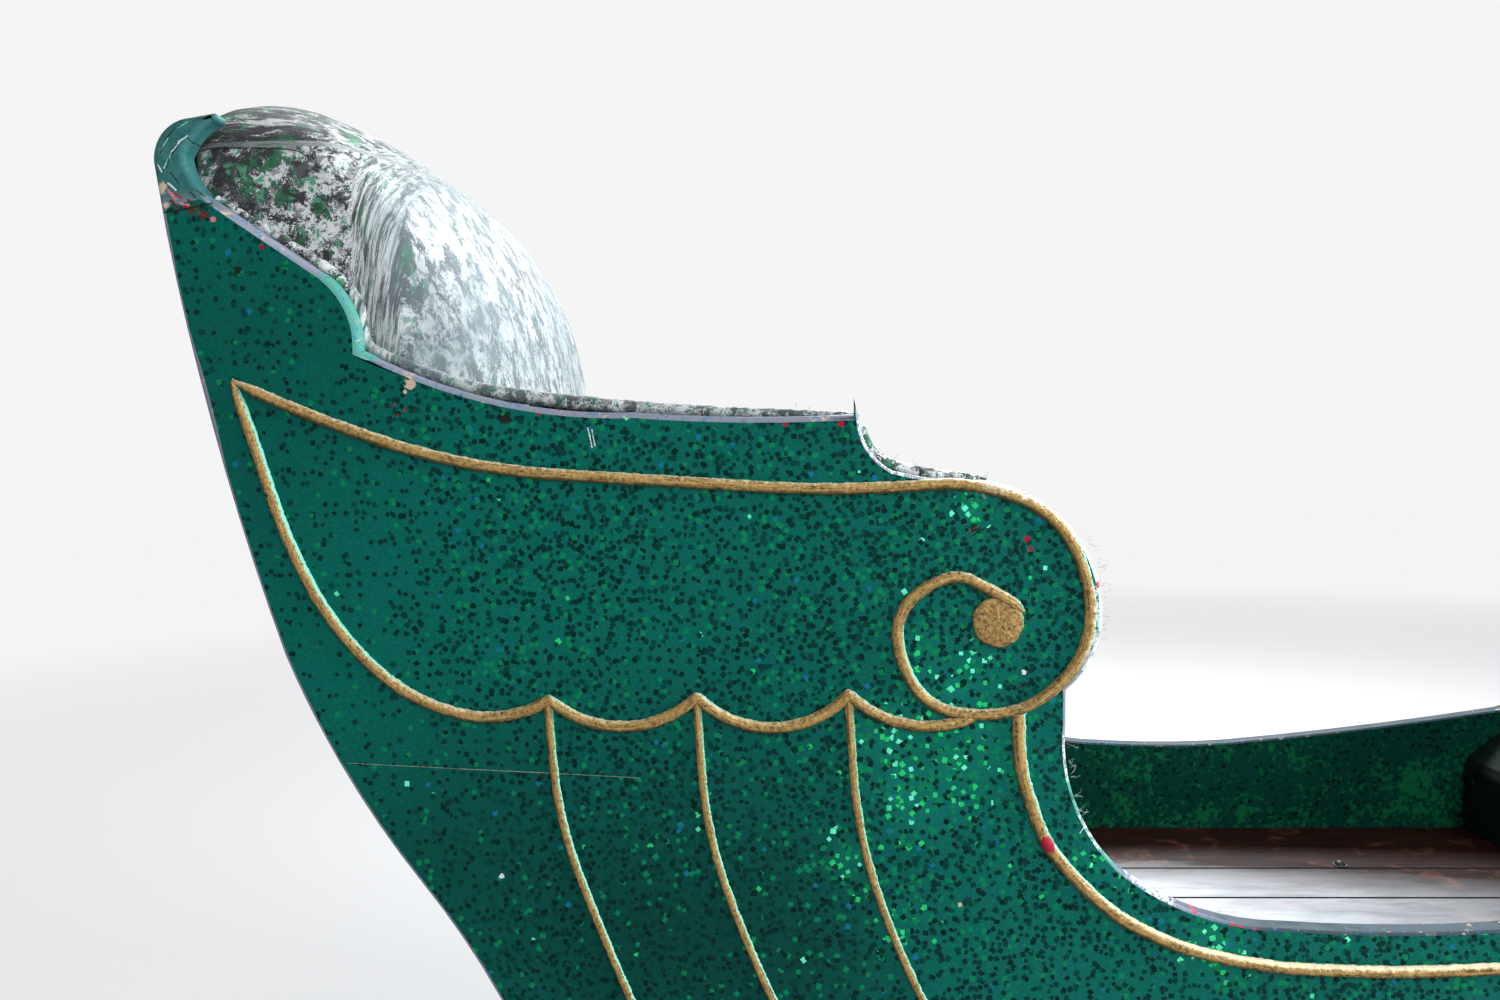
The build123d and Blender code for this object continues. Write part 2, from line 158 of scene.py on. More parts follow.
def vec(tree, operation, first, second=(0, 0, 0)):
    item = add(tree, "ShaderNodeVectorMath", operation=operation)
    link(tree, first, item.inputs[0])
    if operation == "SCALE":
        link(tree, second, item.inputs["Scale"])
    else:
        link(tree, second, item.inputs[1])
    return item.outputs["Value" if operation in ("LENGTH", "DISTANCE", "DOT_PRODUCT") else "Vector"]


def mix(tree, factor, first, second, blend="MIX"):
    item = add(tree, "ShaderNodeMix", data_type="RGBA", blend_type=blend)
    link(tree, factor, item.inputs[0])
    link(tree, first, item.inputs[6])
    link(tree, second, item.inputs[7])
    return item.outputs[2]


def fade(tree, value, low, high, start=0.0, end=1.0):
    # start at low, end at high, held outside
    item = add(tree, "ShaderNodeMapRange", clamp=True)
    for index, number in enumerate((value, low, high, start, end)):
        link(tree, number, item.inputs[index])
    return item.outputs[0]


def cloud(tree, vector, scale, detail=3.0, rough=0.55, distortion=0.0, dims="3D"):
    item = add(tree, "ShaderNodeTexNoise", noise_dimensions=dims, normalize=True)
    for key, value in (("Vector", vector), ("Scale", scale), ("Detail", detail), ("Roughness", rough),
                       ("Distortion", distortion)):
        link(tree, value, item.inputs[key])
    return item.outputs["Fac"]


def bump(tree, height, strength, distance):
    return add(tree, "ShaderNodeBump", {
        "Height": height, "Strength": strength, "Distance": distance}).outputs[0]


def objectSpace(tree):
    return add(tree, "ShaderNodeTexCoord").outputs["Object"]


def parts(tree, vector):
    return add(tree, "ShaderNodeSeparateXYZ", {"Vector": vector}).outputs


def worn(tree, space, scale, amount, soft=0.03):
    return place(tree, wearGroup, {"Vector": space, "Scale": scale, "Amount": amount, "Soft": soft})["Mask"]


def onFlat(px, py):
    # a place in the picture of the side board, as the flat patterns of its plane read it
    spot = onSide(px, py)
    return (spot.x, spot.z, 0)


def fromPlace(tree, flat, px, py):
    return vec(tree, "DISTANCE", flat, onFlat(px, py))


def chip(tree, rag, space, centre, radius, ragged=0.6):
    return place(tree, chipGroup, {
        "Noise": rag, "Vector": space, "Centre": centre, "Radius": radius, "Ragged": ragged})["Mask"]


def scratch(tree, rag, space, first, last, width):
    return place(tree, scratchGroup, {
        "Noise": rag, "Vector": space, "From": first, "To": last, "Width": width})["Mask"]


def speckled(name, first, second, scale, detail=3.0, soft=(0.0, 1.0), **sockets):
    # a plain finish of two tones
    material, tree, shader = newMaterial(name, **sockets)
    tone = fade(tree, cloud(tree, objectSpace(tree), scale, detail), *soft)
    link(tree, mix(tree, tone, first, second), shader.inputs["Base Color"])
    return material


def seenRays(tree):
    # 1 for what the camera sees, straight or in metal and varnish, and 0 for the light on the object
    rays = add(tree, "ShaderNodeLightPath").outputs
    mirrored = calc(tree, "MAXIMUM", rays["Is Glossy Ray"], rays["Is Transmission Ray"])
    return calc(tree, "MAXIMUM", rays["Is Camera Ray"], mirrored)


def newGroup(name, inputs, outputs):
    tree = bpy.data.node_groups.new(name, "ShaderNodeTree")
    for label, kind, value in inputs:
        socket = tree.interface.new_socket(name=label, in_out="INPUT", socket_type=kind)
        if value is not None:
            socket.default_value = value
    for label, kind in outputs:
        tree.interface.new_socket(name=label, in_out="OUTPUT", socket_type=kind)
    return tree, tree.nodes.new("NodeGroupInput").outputs, tree.nodes.new("NodeGroupOutput").inputs


def place(tree, group, values):
    item = tree.nodes.new("ShaderNodeGroup")
    item.node_tree = group
    for key, value in values.items():
        link(tree, value, item.inputs[key])
    return item.outputs


def newMaterial(name, **sockets):
    material = bpy.data.materials.new(name)
    material.use_nodes = True
    tree = material.node_tree
    shader = tree.nodes["Principled BSDF"]
    for key, value in sockets.items():
        shader.inputs[key.replace("_", " ")].default_value = value
    return material, tree, shader


floatKind, vectorKind = "NodeSocketFloat", "NodeSocketVector"

# Glitter: square flakes of foil scattered in the paint, each turned its own way
flakeGroup, gIn, gOut = newGroup("glitter flakes", (
    ("Vector", vectorKind, None), ("Cell", floatKind, 0.012), ("Size", floatKind, 0.0045),
    ("Keep", floatKind, 0.8), ("Shift", floatKind, 0.0)), (
    ("Mask", floatKind), ("Chance", floatKind), ("Tint", floatKind)))
moved = vec(flakeGroup, "ADD", gIn["Vector"], gIn["Shift"])
cells = add(flakeGroup, "ShaderNodeTexVoronoi", {
    "Vector": moved, "Scale": calc(flakeGroup, "DIVIDE", 1.0, gIn["Cell"]), "Randomness": 1.0},
    voronoi_dimensions="2D", feature="F1", distance="EUCLIDEAN")
chance = add(flakeGroup, "ShaderNodeSeparateColor", {"Color": cells.outputs["Color"]})
away = vec(flakeGroup, "SUBTRACT", moved, cells.outputs["Position"])
spun = add(flakeGroup, "ShaderNodeVectorRotate", {
    "Vector": away, "Angle": times(flakeGroup, chance.outputs[0], 6.0)}, rotation_type="Z_AXIS")
corner = add(flakeGroup, "ShaderNodeSeparateXYZ", {"Vector": vec(flakeGroup, "ABSOLUTE", spun.outputs[0])})
reach = calc(flakeGroup, "MAXIMUM", corner.outputs[0], times(flakeGroup, corner.outputs[1], 1.12))
room = times(flakeGroup, gIn["Size"], fade(flakeGroup, chance.outputs[2], 0.0, 1.0, 0.36, 0.56))
inside = calc(flakeGroup, "LESS_THAN", reach, room)
kept = calc(flakeGroup, "LESS_THAN", chance.outputs[1], gIn["Keep"])
link(flakeGroup, times(flakeGroup, inside, kept), gOut["Mask"])
link(flakeGroup, calc(flakeGroup, "FRACT", times(flakeGroup, chance.outputs[0], 7.31)), gOut["Chance"])
link(flakeGroup, calc(flakeGroup, "FRACT", times(flakeGroup, chance.outputs[2], 5.77)), gOut["Tint"])

# Wear: a mask of ragged patches that grows with Amount
wearGroup, gIn, gOut = newGroup("worn patches", (
    ("Vector", vectorKind, None), ("Scale", floatKind, 60.0), ("Amount", floatKind, 0.2),
    ("Soft", floatKind, 0.03)), (("Mask", floatKind),))
patch = cloud(wearGroup, gIn["Vector"], gIn["Scale"], 8.0, 0.62, 0.4)
edge = less(wearGroup, 1.0, plus(wearGroup, gIn["Amount"], 0.25))
link(wearGroup, fade(wearGroup, patch, less(wearGroup, edge, gIn["Soft"]),
                     plus(wearGroup, edge, gIn["Soft"])), gOut["Mask"])

# Grain of brushed or planed wood: long fibres along one axis
grainGroup, gIn, gOut = newGroup("wood grain", (
    ("Vector", vectorKind, None), ("Along", vectorKind, (1.0, 12.0, 12.0)), ("Scale", floatKind, 12.0)),
    (("Grain", floatKind), ("Rings", floatKind)))
stretched = vec(grainGroup, "MULTIPLY", gIn["Vector"], gIn["Along"])
fibres = cloud(grainGroup, stretched, gIn["Scale"], 7.0, 0.65, 0.3)
wide = cloud(grainGroup, stretched, times(grainGroup, gIn["Scale"], 0.22), 3.0, 0.5, 1.2)
rings = calc(grainGroup, "PINGPONG", times(grainGroup, wide, 9.0), 1.0)
link(grainGroup, fibres, gOut["Grain"])
link(grainGroup, rings, gOut["Rings"])

# Chip: a ragged spot about one place
chipGroup, gIn, gOut = newGroup("paint chip", (
    ("Vector", vectorKind, None), ("Centre", vectorKind, (0, 0, 0)), ("Radius", floatKind, 0.006),
    ("Ragged", floatKind, 0.6), ("Noise", floatKind, 0.5)), (("Mask", floatKind),))
far = vec(chipGroup, "DISTANCE", gIn["Vector"], gIn["Centre"])
rag = fade(chipGroup, gIn["Noise"], 0.36, 0.64, 1.0, 0.0)
limit = times(chipGroup, gIn["Radius"],
             less(chipGroup, 1.0, times(chipGroup, rag, gIn["Ragged"])))
link(chipGroup, calc(chipGroup, "LESS_THAN", far, limit), gOut["Mask"])

# Scratch: a thin ragged line from one place to another
scratchGroup, gIn, gOut = newGroup("scratch", (
    ("Vector", vectorKind, None), ("From", vectorKind, (0, 0, 0)), ("To", vectorKind, (0, 0, 0)),
    ("Width", floatKind, 0.0008), ("Noise", floatKind, 0.5)), (("Mask", floatKind),))
way = vec(scratchGroup, "SUBTRACT", gIn["To"], gIn["From"])
start = vec(scratchGroup, "SUBTRACT", gIn["Vector"], gIn["From"])
along = calc(scratchGroup, "DIVIDE", vec(scratchGroup, "DOT_PRODUCT", start, way),
             vec(scratchGroup, "DOT_PRODUCT", way, way), clamp=True)
off = vec(scratchGroup, "SUBTRACT", start, vec(scratchGroup, "SCALE", way, along))
off = vec(scratchGroup, "LENGTH", off)
torn = fade(scratchGroup, gIn["Noise"], 0.38, 0.62, 0.15, 1.0)
link(scratchGroup, calc(scratchGroup, "LESS_THAN", off, times(scratchGroup, gIn["Width"], torn)),
     gOut["Mask"])

print("stage: shader groups")


# Paint of the body

paint = {
    "teal": rgb(2, 108, 97), "deepTeal": rgb(1, 80, 71), "paleTeal": rgb(22, 138, 124),
    "darkFlake": rgb(1, 34, 31), "midFlake": rgb(6, 124, 80), "greenFlake": rgb(36, 196, 110),
    "brightFlake": rgb(104, 240, 200), "blueFlake": rgb(16, 108, 140), "flakeSize": 0.0056,
    "flakeCell": 0.0108, "bare": rgb(196, 178, 158), "red": rgb(160, 24, 44), "dirt": rgb(30, 34, 30),
    "white": rgb(214, 222, 222), "blue": rgb(40, 120, 170), "crack": rgb(150, 138, 136),
    "band": rgb(38, 92, 92), "mint": rgb(120, 205, 190), "brown": rgb(74, 52, 38), "darkPatch": rgb(0, 42, 37),
    "pink": rgb(206, 120, 134), "bandLight": rgb(60, 116, 116), "undercoatAndHighlight": rgb(206, 216, 218),
    "mintHighlight": rgb(84, 156, 144), "whiteRubAndHighlight": rgb(212, 220, 222), "redRub": rgb(190, 60, 80),
    "darkEdge": rgb(16, 46, 48), "darkEdgeRub": rgb(44, 62, 70), "greenSpeck": rgb(14, 104, 62),
}
# Outside the bead round the front of the arm, the rim is rubbed to a pale undercoat, which is also painted
#  highlight on the side that faces the light: scale and depth of the tears, and over which stretch past the
#  bead, of the board's length and of its height it sets in
volute = {
    "centre": (205, 832), "radius": 0.110, "end": (0.030, 0.040),
    "onPaint": (140.0, 0.045, (0.003, 0.006), (0.185, 0.215), (0.735, 0.790)),
    "onBead": (150.0, 0.035, (0.0035, 0.0055), (0.19, 0.24), (0.76, 0.80)),
}


def rubbedAndLitRing(tree, space, flat, look):
    scale, depth, past, ahead, over = look
    x, z = volute["centre"]
    away = vec(tree, "DISTANCE", flat, (x / 1000 + moveX, z / 1000, 0))
    torn = times(tree, less(tree, cloud(tree, space, scale, 8.0, 0.72), 0.5), depth)
    ring = fade(tree, plus(tree, away, torn), *(volute["radius"] + value for value in past))
    close = fade(tree, away, *(volute["radius"] + value for value in volute["end"]), 1.0, 0.0)
    ring = times(tree, ring, close)
    apart = parts(tree, flat)
    ring = times(tree, ring, fade(tree, apart[0], moveX + ahead[0], moveX + ahead[1]))
    return times(tree, ring, fade(tree, apart[1], *over))


# places in the picture of the right side board, with sizes in metres
panelChips = (
    (410, 384, 0.0080, "bare"), (415, 374, 0.0055, "bare"), (505, 419, 0.0078, "dirt"),
    (537, 408, 0.0042, "dirt"), (538, 413, 0.0036, "red"), (785, 424, 0.0038, "red"),
    (841, 424, 0.0044, "red"), (1027, 539, 0.0046, "red"), (1030, 549, 0.0034, "red"),
    (502, 876, 0.0040, "white"), (1024, 672, 0.0040, "white"), (237, 270, 0.0052, "dirt"),
    (1082, 561, 0.0040, "red"), (262, 247, 0.0034, "red"), (841, 487, 0.0040, "red"),
    (405, 392, 0.0030, "bare"), (395, 405, 0.0022, "red"), (404, 410, 0.0022, "red"),
    (398, 415, 0.0020, "red"), (960, 905, 0.0030, "bare"),
)
tipChips = (
    (162, 188, 0.0085, "bare"), (166, 205, 0.0050, "bare"), (186, 206, 0.0040, "red"),
    (192, 211, 0.0060, "brown"), (204, 215, 0.0070, "brown"), (213, 219, 0.0045, "pink"),
    (176, 212, 0.0040, "dirt"),
)
tipSmears = (
    (167, 189, 176, 199, 0.0026, "pink"), (174, 193, 182, 198, 0.0016, "red"),
    (178, 203, 188, 205, 0.0020, "pink"), (170, 201, 180, 209, 0.0026, "brown"),
    (188, 200, 200, 209, 0.0024, "brown"), (198, 213, 206, 216, 0.0009, "red"),
    (155, 213, 172, 212, 0.0014, "dirt"), (172, 212, 190, 208, 0.0014, "dirt"),
    (190, 208, 212, 203, 0.0013, "dirt"), (168, 183, 176, 190, 0.0014, "white"),
)
# cracks under the lip: the dark lines are the cracks, the mint and white lines are painted highlights on
# their edges
tipCracksAndHighlights = (
    (164, 168, 172, 152, 0.0013, "mint"), (172, 152, 180, 141, 0.0015, "white"),
    (180, 141, 187, 136, 0.0010, "white"), (162, 172, 158, 165, 0.0010, "white"),
    (166, 168, 169, 158, 0.0008, "dirt"), (171, 155, 178, 146, 0.0012, "dirt"),
    (187, 137, 193, 146, 0.0009, "dirt"), (170, 172, 180, 185, 0.0010, "dirt"),
    (161, 150, 168, 138, 0.0011, "mint"), (160, 153, 163, 147, 0.0012, "dirt"),
    (196, 190, 204, 196, 0.0012, "dirt"), (190, 192, 200, 202, 0.0010, "dirt"),
    (199, 200, 210, 206, 0.0009, "mint"), (178, 128, 187, 122, 0.0009, "mint"),
    (165, 140, 175, 128, 0.0008, "dirt"),
)
panelScratches = (
    (588, 428, 592, 447, 0.0010, "white"), (592, 430, 595, 446, 0.0008, "white"),
    (588, 424, 590, 432, 0.0010, "dirt"), (965, 526, 984, 530, 0.0009, "dirt"),
    (970, 537, 985, 528, 0.0009, "dirt"), (967, 533, 978, 526, 0.0007, "red"),
    (1016, 690, 1030, 681, 0.0011, "dirt"), (1020, 683, 1026, 697, 0.0010, "dirt"),
    (1035, 752, 1044, 743, 0.0010, "dirt"), (1045, 752, 1059, 744, 0.0011, "dirt"),
    (229, 265, 242, 275, 0.0010, "dirt"), (232, 276, 240, 262, 0.0008, "dirt"),
    (347, 763, 463, 769, 0.0004, "crack"), (463, 769, 548, 773, 0.0006, "crack"),
    (548, 773, 640, 778, 0.0004, "crack"), (640, 778, 800, 786, 0.0003, "dirt"),
    (1000, 800, 1022, 800, 0.0006, "dirt"), (1080, 833, 1085, 826, 0.0008, "white"),
)
# where the foil catches the light: centre in the picture and reach in metres
shinyPlaces = (
    (900, 740, 0.075), (945, 760, 0.085), (985, 742, 0.070), (955, 690, 0.080), (905, 790, 0.080),
    (860, 860, 0.050), (975, 508, 0.030), (1120, 860, 0.050), (1210, 950, 0.055), (900, 930, 0.050),
)
# where the paint is darker, in soft patches: centre, reach and share
darkerPlaces = (
    (640, 930, 0.330, 0.75), (250, 330, 0.260, 0.25), (420, 860, 0.200, 0.35), (800, 960, 0.160, 0.5),
)

crowdedPlace = (600, 960, 0.300)  # where black flakes lie thickest: centre and reach


def glitterPaint(name, density=1.0, dark=1.0, marked=False):
    material, tree, shader = newMaterial(name, Roughness=0.42, Specular_IOR_Level=0.07)
    space = objectSpace(tree)
    flat = add(tree, "ShaderNodeUVMap", uv_map="paint").outputs[0]
    apart = parts(tree, flat)
    rag = cloud(tree, space, 170.0, 8.0, 0.78)
    grit = cloud(tree, space, 950.0, 2.0, 0.7)
    grit2 = cloud(tree, space, 330.0, 3.0, 0.65)
    broad = cloud(tree, space, 3.2, 3.0, 0.5)
    base = mix(tree, fade(tree, grit, 0.36, 0.64), paint["deepTeal"], paint["teal"])
    base = mix(tree, fade(tree, grit2, 0.54, 0.72, 0.0, 0.45), base, paint["paleTeal"])
    base = mix(tree, fade(tree, broad, 0.3, 0.7, 0.0, 0.4), base, paint["deepTeal"])
    for px, py, reach, share in darkerPlaces:
        near = fromPlace(tree, flat, px, py)
        base = mix(tree, fade(tree, near, 0.0, reach, share, 0.0), base, paint["darkPatch"])
    crowd = fade(tree, fromPlace(tree, flat, *crowdedPlace[:2]), 0.0, crowdedPlace[2], 1.0, 0.0)
    # flakes lie thin along the rear edge and thick ahead of it
    fromRear = plus(tree, plus(tree, apart[0], 0.29 - moveX - 0.41 * 0.336),
                    times(tree, apart[1], 0.41))
    lively = cloud(tree, flat, 5.0, 4.0, 0.62, 0.4)
    fromRear = plus(tree, fromRear, times(tree, crowd, 0.25))
    lively = plus(tree, lively, times(tree, crowd, 0.30))
    many = times(tree, fade(tree, fromRear, 0.0, 0.34, 0.30, 1.0),
                fade(tree, lively, 0.30, 0.62, 0.45 * density, 1.0 * density))
    patchy = cloud(tree, flat, 14.0, 4.0, 0.6)
    shine = fade(tree, patchy, 0.55, 0.75, 0.004, 0.025)
    for px, py, reach in shinyPlaces if dark == 1.0 else ():
        near = fromPlace(tree, flat, px, py)
        strong = fade(tree, near, 0.0, reach, 0.58, 0.0)
        shine = calc(tree, "MAXIMUM", shine, times(tree, strong, fade(tree, patchy, 0.36, 0.60, 0.34, 1.0)))
    base = mix(tree, fade(tree, shine, 0.05, 0.6, 0.0, 0.40), base, paint["paleTeal"])
    height = times(tree, grit, 0.8)
    flakes = 0.0
    plainTint = plus(tree, 0.86, times(tree, crowd, 0.12))
    for index, growth in enumerate((1.0, 1.13, 1.32, 1.75)):
        flake = place(tree, flakeGroup, {
            "Vector": flat, "Cell": paint["flakeCell"] * growth, "Size": paint["flakeSize"], "Keep": many,
            "Shift": 3.7 * index})
        lit = times(tree, shine, 1.30 - 0.32 * index)  # the coarse flakes catch less light
        bright = calc(tree, "GREATER_THAN", plus(tree, flake["Chance"], lit), 1.0)
        middle = calc(tree, "GREATER_THAN", plus(tree, flake["Tint"], times(tree, shine, 1.4)),
                      plainTint)
        sparkle = fade(tree, calc(tree, "FRACT", times(tree, flake["Tint"], 43.0)), 0.50, 0.75)
        blue = calc(tree, "GREATER_THAN", calc(tree, "FRACT", times(tree, flake["Tint"], 19.0)), 0.992)
        colour = fade(tree, flake["Tint"], 0.0, 0.9, 0.0, 0.70)
        colour = mix(tree, colour, paint["darkFlake"], paint["deepTeal"])
        colour = mix(tree, middle, colour, paint["midFlake"])
        colour = mix(tree, bright, colour, mix(tree, sparkle, paint["greenFlake"], paint["brightFlake"]))
        colour = mix(tree, blue, colour, paint["blueFlake"])
        base = mix(tree, flake["Mask"], base, colour)
        height = plus(tree, height, times(tree, flake["Mask"], 0.8))
        flakes = calc(tree, "MAXIMUM", flakes, flake["Mask"])
    base = mix(tree, rubbedAndLitRing(tree, space, flat, volute["onPaint"]), base, paint["undercoatAndHighlight"])
    if marked:
        for px, py, radius, colour in panelChips + tipChips:
            base = mix(tree, chip(tree, rag, space, onSide(px, py), radius), base, paint[colour])
        for ax, ay, bx, by, width, colour in tipSmears + panelScratches:
            line = scratch(tree, rag, space, onSide(ax, ay), onSide(bx, by), width)
            base = mix(tree, line, base, paint[colour])
    # painted shade: for the inner faces the same paint is darkened as a whole, for the shade inside the body
    if dark < 1.0:
        base = mix(tree, 1.0, base, (dark * 0.85, dark, dark * 0.92, 1.0), "MULTIPLY")
        # small rubbed specks where a greener coat shows through, thickest low down
        where = cloud(tree, vec(tree, "ADD", space, (2.3, 0.4, 7.7)), 11.0, 4.0, 0.7)
        specks = cloud(tree, vec(tree, "ADD", space, (5.3, 1.4, 2.7)), 120.0, 3.0, 0.6)
        low = fade(tree, apart[1], 0.36, 0.54, 0.10, -0.03)
        amount = plus(tree, plus(tree, specks, times(tree, where, 0.9)), low)
        base = mix(tree, fade(tree, amount, 1.03, 1.16, 0.0, 0.8), base, paint["greenSpeck"])
    link(tree, base, shader.inputs["Base Color"])
    link(tree, fade(tree, grit2, 0.3, 0.7, 0.36, 0.56), shader.inputs["Roughness"])
    link(tree, times(tree, flakes, 0.25), shader.inputs["Metallic"])
    link(tree, bump(tree, height, 0.55, 0.0007), shader.inputs["Normal"])
    return material


# where the rim is rubbed to a pale undercoat, and paler still as painted highlight where light falls on it:
# centre in the picture, reach, and share
paleRimsWornAndLit = (
    (1000, 478, 0.060, 0.85), (1045, 500, 0.070, 1.0), (1085, 545, 0.070, 1.0), (1100, 600, 0.060, 0.95),
    (1092, 655, 0.045, 0.6), (1074, 760, 0.045, 0.45), (1092, 835, 0.045, 0.40), (1150, 895, 0.050, 0.50),
    (870, 440, 0.040, 0.45), (905, 470, 0.045, 0.4), (960, 478, 0.045, 0.6),
)
# painted highlight: mint light along the edges that face the light: centre in the picture, reach, and share
mintLitRims = ((352, 292, 0.055, 1.0), (366, 335, 0.040, 1.0), (1060, 800, 0.060, 1.0), (1090, 850, 0.050, 1.0))
redRims = (
    (1232, 927, 0.0050), (1240, 929, 0.0045), (1254, 931, 0.0050), (1196, 912, 0.0035), (1094, 556, 0.0060),
    (1098, 585, 0.0050),
)


def edgePaint(name, first, second, pale, chipAmount, wornShare=0.3):
    # plain paint of the sawn edges, rubbed pale along the arris, with chips through to bare wood
    material, tree, shader = newMaterial(name, Roughness=0.55, Specular_IOR_Level=0.12)
    space = objectSpace(tree)
    apart = parts(tree, space)
    flat = add(tree, "ShaderNodeCombineXYZ", {0: apart[0], 1: apart[2]}).outputs[0]
    rag = cloud(tree, space, 170.0, 8.0, 0.78)
    base = mix(tree, fade(tree, cloud(tree, space, 38.0, 6.0, 0.6), 0.35, 0.65), first, second)
    grit = fade(tree, cloud(tree, space, 420.0, 3.0, 0.6), 0.45, 0.75, 0.0, 0.5)
    base = mix(tree, grit, base, paint["deepTeal"])
    rubbed = worn(tree, space, 30.0, wornShare, 0.06)
    base = mix(tree, rubbed, base, pale)
    ragged = cloud(tree, vec(tree, "MULTIPLY", space, (1.0, 0.35, 1.0)), 210.0, 7.0, 0.7)
    ragged = fade(tree, ragged, 0.38, 0.62, -0.5, 0.5)
    # ahead of the entry the edges keep their dark paint
    ahead = fade(tree, apart[0], moveX + 0.40, moveX + 0.50, 0.0, 0.92)
    base = mix(tree, ahead, base, mix(tree, rubbed, paint["darkEdge"], paint["darkEdgeRub"]))
    # pale rims, worn and with painted highlight, and mint painted highlights along lit edges
    tones = ((mintLitRims, 0.5, 0.60, paint["mintHighlight"]), (paleRimsWornAndLit, 0.35, 0.42, paint["whiteRubAndHighlight"]))
    for rims, core, end, colour in tones:
        for px, py, reach, share in rims:
            near = fade(tree, fromPlace(tree, flat, px, py), reach * core, reach, share, -0.5)
            base = mix(tree, fade(tree, plus(tree, near, ragged), 0.30, end), base, colour)
    chipped = worn(tree, space, 70.0, chipAmount)
    base = mix(tree, chipped, base, paint["bare"])
    spots = worn(tree, vec(tree, "ADD", space, (3.1, 1.7, 5.3)), 95.0, chipAmount * 0.7)
    base = mix(tree, spots, base, paint["red"])
    specks = worn(tree, vec(tree, "ADD", space, (1.1, 4.7, 2.3)), 190.0, chipAmount * 1.2)
    base = mix(tree, specks, base, paint["blue"])
    for px, py, radius in redRims:
        base = mix(tree, chip(tree, rag, flat, onFlat(px, py), radius), base, paint["redRub"])
    # the lip at the top of the back keeps its plain teal
    lip = fade(tree, apart[2], 1.250, 1.275)
    plain = fade(tree, cloud(tree, space, 90.0, 6.0, 0.65), 0.35, 0.65)
    plain = mix(tree, plain, paint["band"], paint["bandLight"])
    base = mix(tree, lip, base, plain)
    rightSide = calc(tree, "LESS_THAN", apart[1], 0.0)
    for ax, ay, bx, by, width, colour in tipSmears + tipCracksAndHighlights:
        line = scratch(tree, rag, flat, onFlat(ax, ay), onFlat(bx, by), width)
        base = mix(tree, times(tree, line, rightSide), base, paint[colour])
    # red, bare and brown places under the lip
    for px, py, radius, colour in tipChips:
        spot = chip(tree, rag, flat, onFlat(px, py), radius)
        base = mix(tree, times(tree, spot, rightSide), base, paint[colour])
    link(tree, base, shader.inputs["Base Color"])
    height = plus(tree, cloud(tree, space, 240.0, 4.0, 0.6), times(tree, chipped, -1.0))
    link(tree, bump(tree, height, 0.5, 0.0008), shader.inputs["Normal"])
    return material


sidePaint = glitterPaint("side paint with glitter", marked=True)
farSidePaint = glitterPaint("left side paint with glitter")
# the inner faces take the glitter paint darkened to about a third, as painted shade
innerPaint = glitterPaint("inner paint with glitter", density=0.28, dark=0.36)
sawnPaint = edgePaint("sawn edge paint", rgb(24, 66, 66), rgb(46, 78, 84), rgb(84, 94, 106), 0.07)
arrisPaint = edgePaint("worn arris", rgb(46, 96, 94), rgb(92, 112, 120), rgb(132, 138, 154), 0.12, 0.45)


# Rounded copies of the CAD boards: the CAD node stays for the simulation, the copy is what is seen

def mergedCopy(nodeName, name):
    mesh = nodes[nodeName].data.copy()
    mesh.materials.clear()
    work = bmesh.new()
    work.from_mesh(mesh)
    bmesh.ops.remove_doubles(work, verts=work.verts, dist=2e-5)
    bmesh.ops.dissolve_limit(work, angle_limit=math.radians(0.4), verts=work.verts, edges=work.edges)
    for face in work.faces:
        face.smooth = False
    work.to_mesh(mesh)
    work.free()
    return sceneObject(name, mesh)


def paintMap(piece):
    # flat coordinates in metres on each face, from whichever way it looks
    layer = piece.data.uv_layers.new(name="paint")
    for polygon in piece.data.polygons:
        normal = polygon.normal
        for loop in polygon.loop_indices:
            spot = piece.data.vertices[piece.data.loops[loop].vertex_index].co
            if abs(normal.y) > 0.7:
                layer.data[loop].uv = (spot.x, spot.z)
            elif abs(normal.z) > 0.7:
                layer.data[loop].uv = (spot.x, spot.y + 5)
            else:
                layer.data[loop].uv = (spot.y + 9, spot.z - spot.x * 0.3)


def evaluatedMesh(piece):
    graph = bpy.context.evaluated_depsgraph_get()
    graph.update()
    return bpy.data.meshes.new_from_object(piece.evaluated_get(graph), preserve_all_data_layers=True,
                                           depsgraph=graph)


def applyModifiers(piece):
    mesh = evaluatedMesh(piece)
    piece.modifiers.clear()
    piece.data = mesh


def bodyOf(nodeName):
    for body, obj in frame["bodies"].items():
        item = nodes[nodeName].parent
        while item is not None:
            if item == obj:
                return body
            item = item.parent
    return "sleigh"


def dress(piece, nodeName):
    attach(piece, bodyOf(nodeName))
    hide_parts(nodeName)


def softened(nodeName, materials, width, segments):
    piece = mergedCopy(nodeName, nodeName + "_finished")
    for material in materials:
        piece.data.materials.append(material)
    paintMap(piece)
    bevel = piece.modifiers.new("eased edges", "BEVEL")
    bevel.width = width
    bevel.segments = segments
    bevel.limit_method = "ANGLE"
    bevel.angle_limit = math.radians(30)
    if len(materials) > 1:
        bevel.material = 1
    applyModifiers(piece)
    dress(piece, nodeName)


# Side boards

sideBoard = {
    "widest": 0.0085, "segments": 4,
    # width of the rounded arris on the outer face over each height, for the stretch up to the step of the arm
    "bands": ((1.262, 0.0060), (1.085, 0.0085), (1.020, 0.0062), (0.0, 0.0034)),
    "step": 0.120, "plain": 0.0034,
    # over this line the outer face is plain old paint: height at the rear edge, and slope
    "lip": (1.2620, 0.16), "rear": -0.637,
    # the glued joint of the two boards: its rear end and its slope
    "joint": (-0.520, 0.663, -0.0535),
}


def overLip(point):
    height, slope = sideBoard["lip"]
    return point.z - height - slope * (point.x - moveX - sideBoard["rear"])


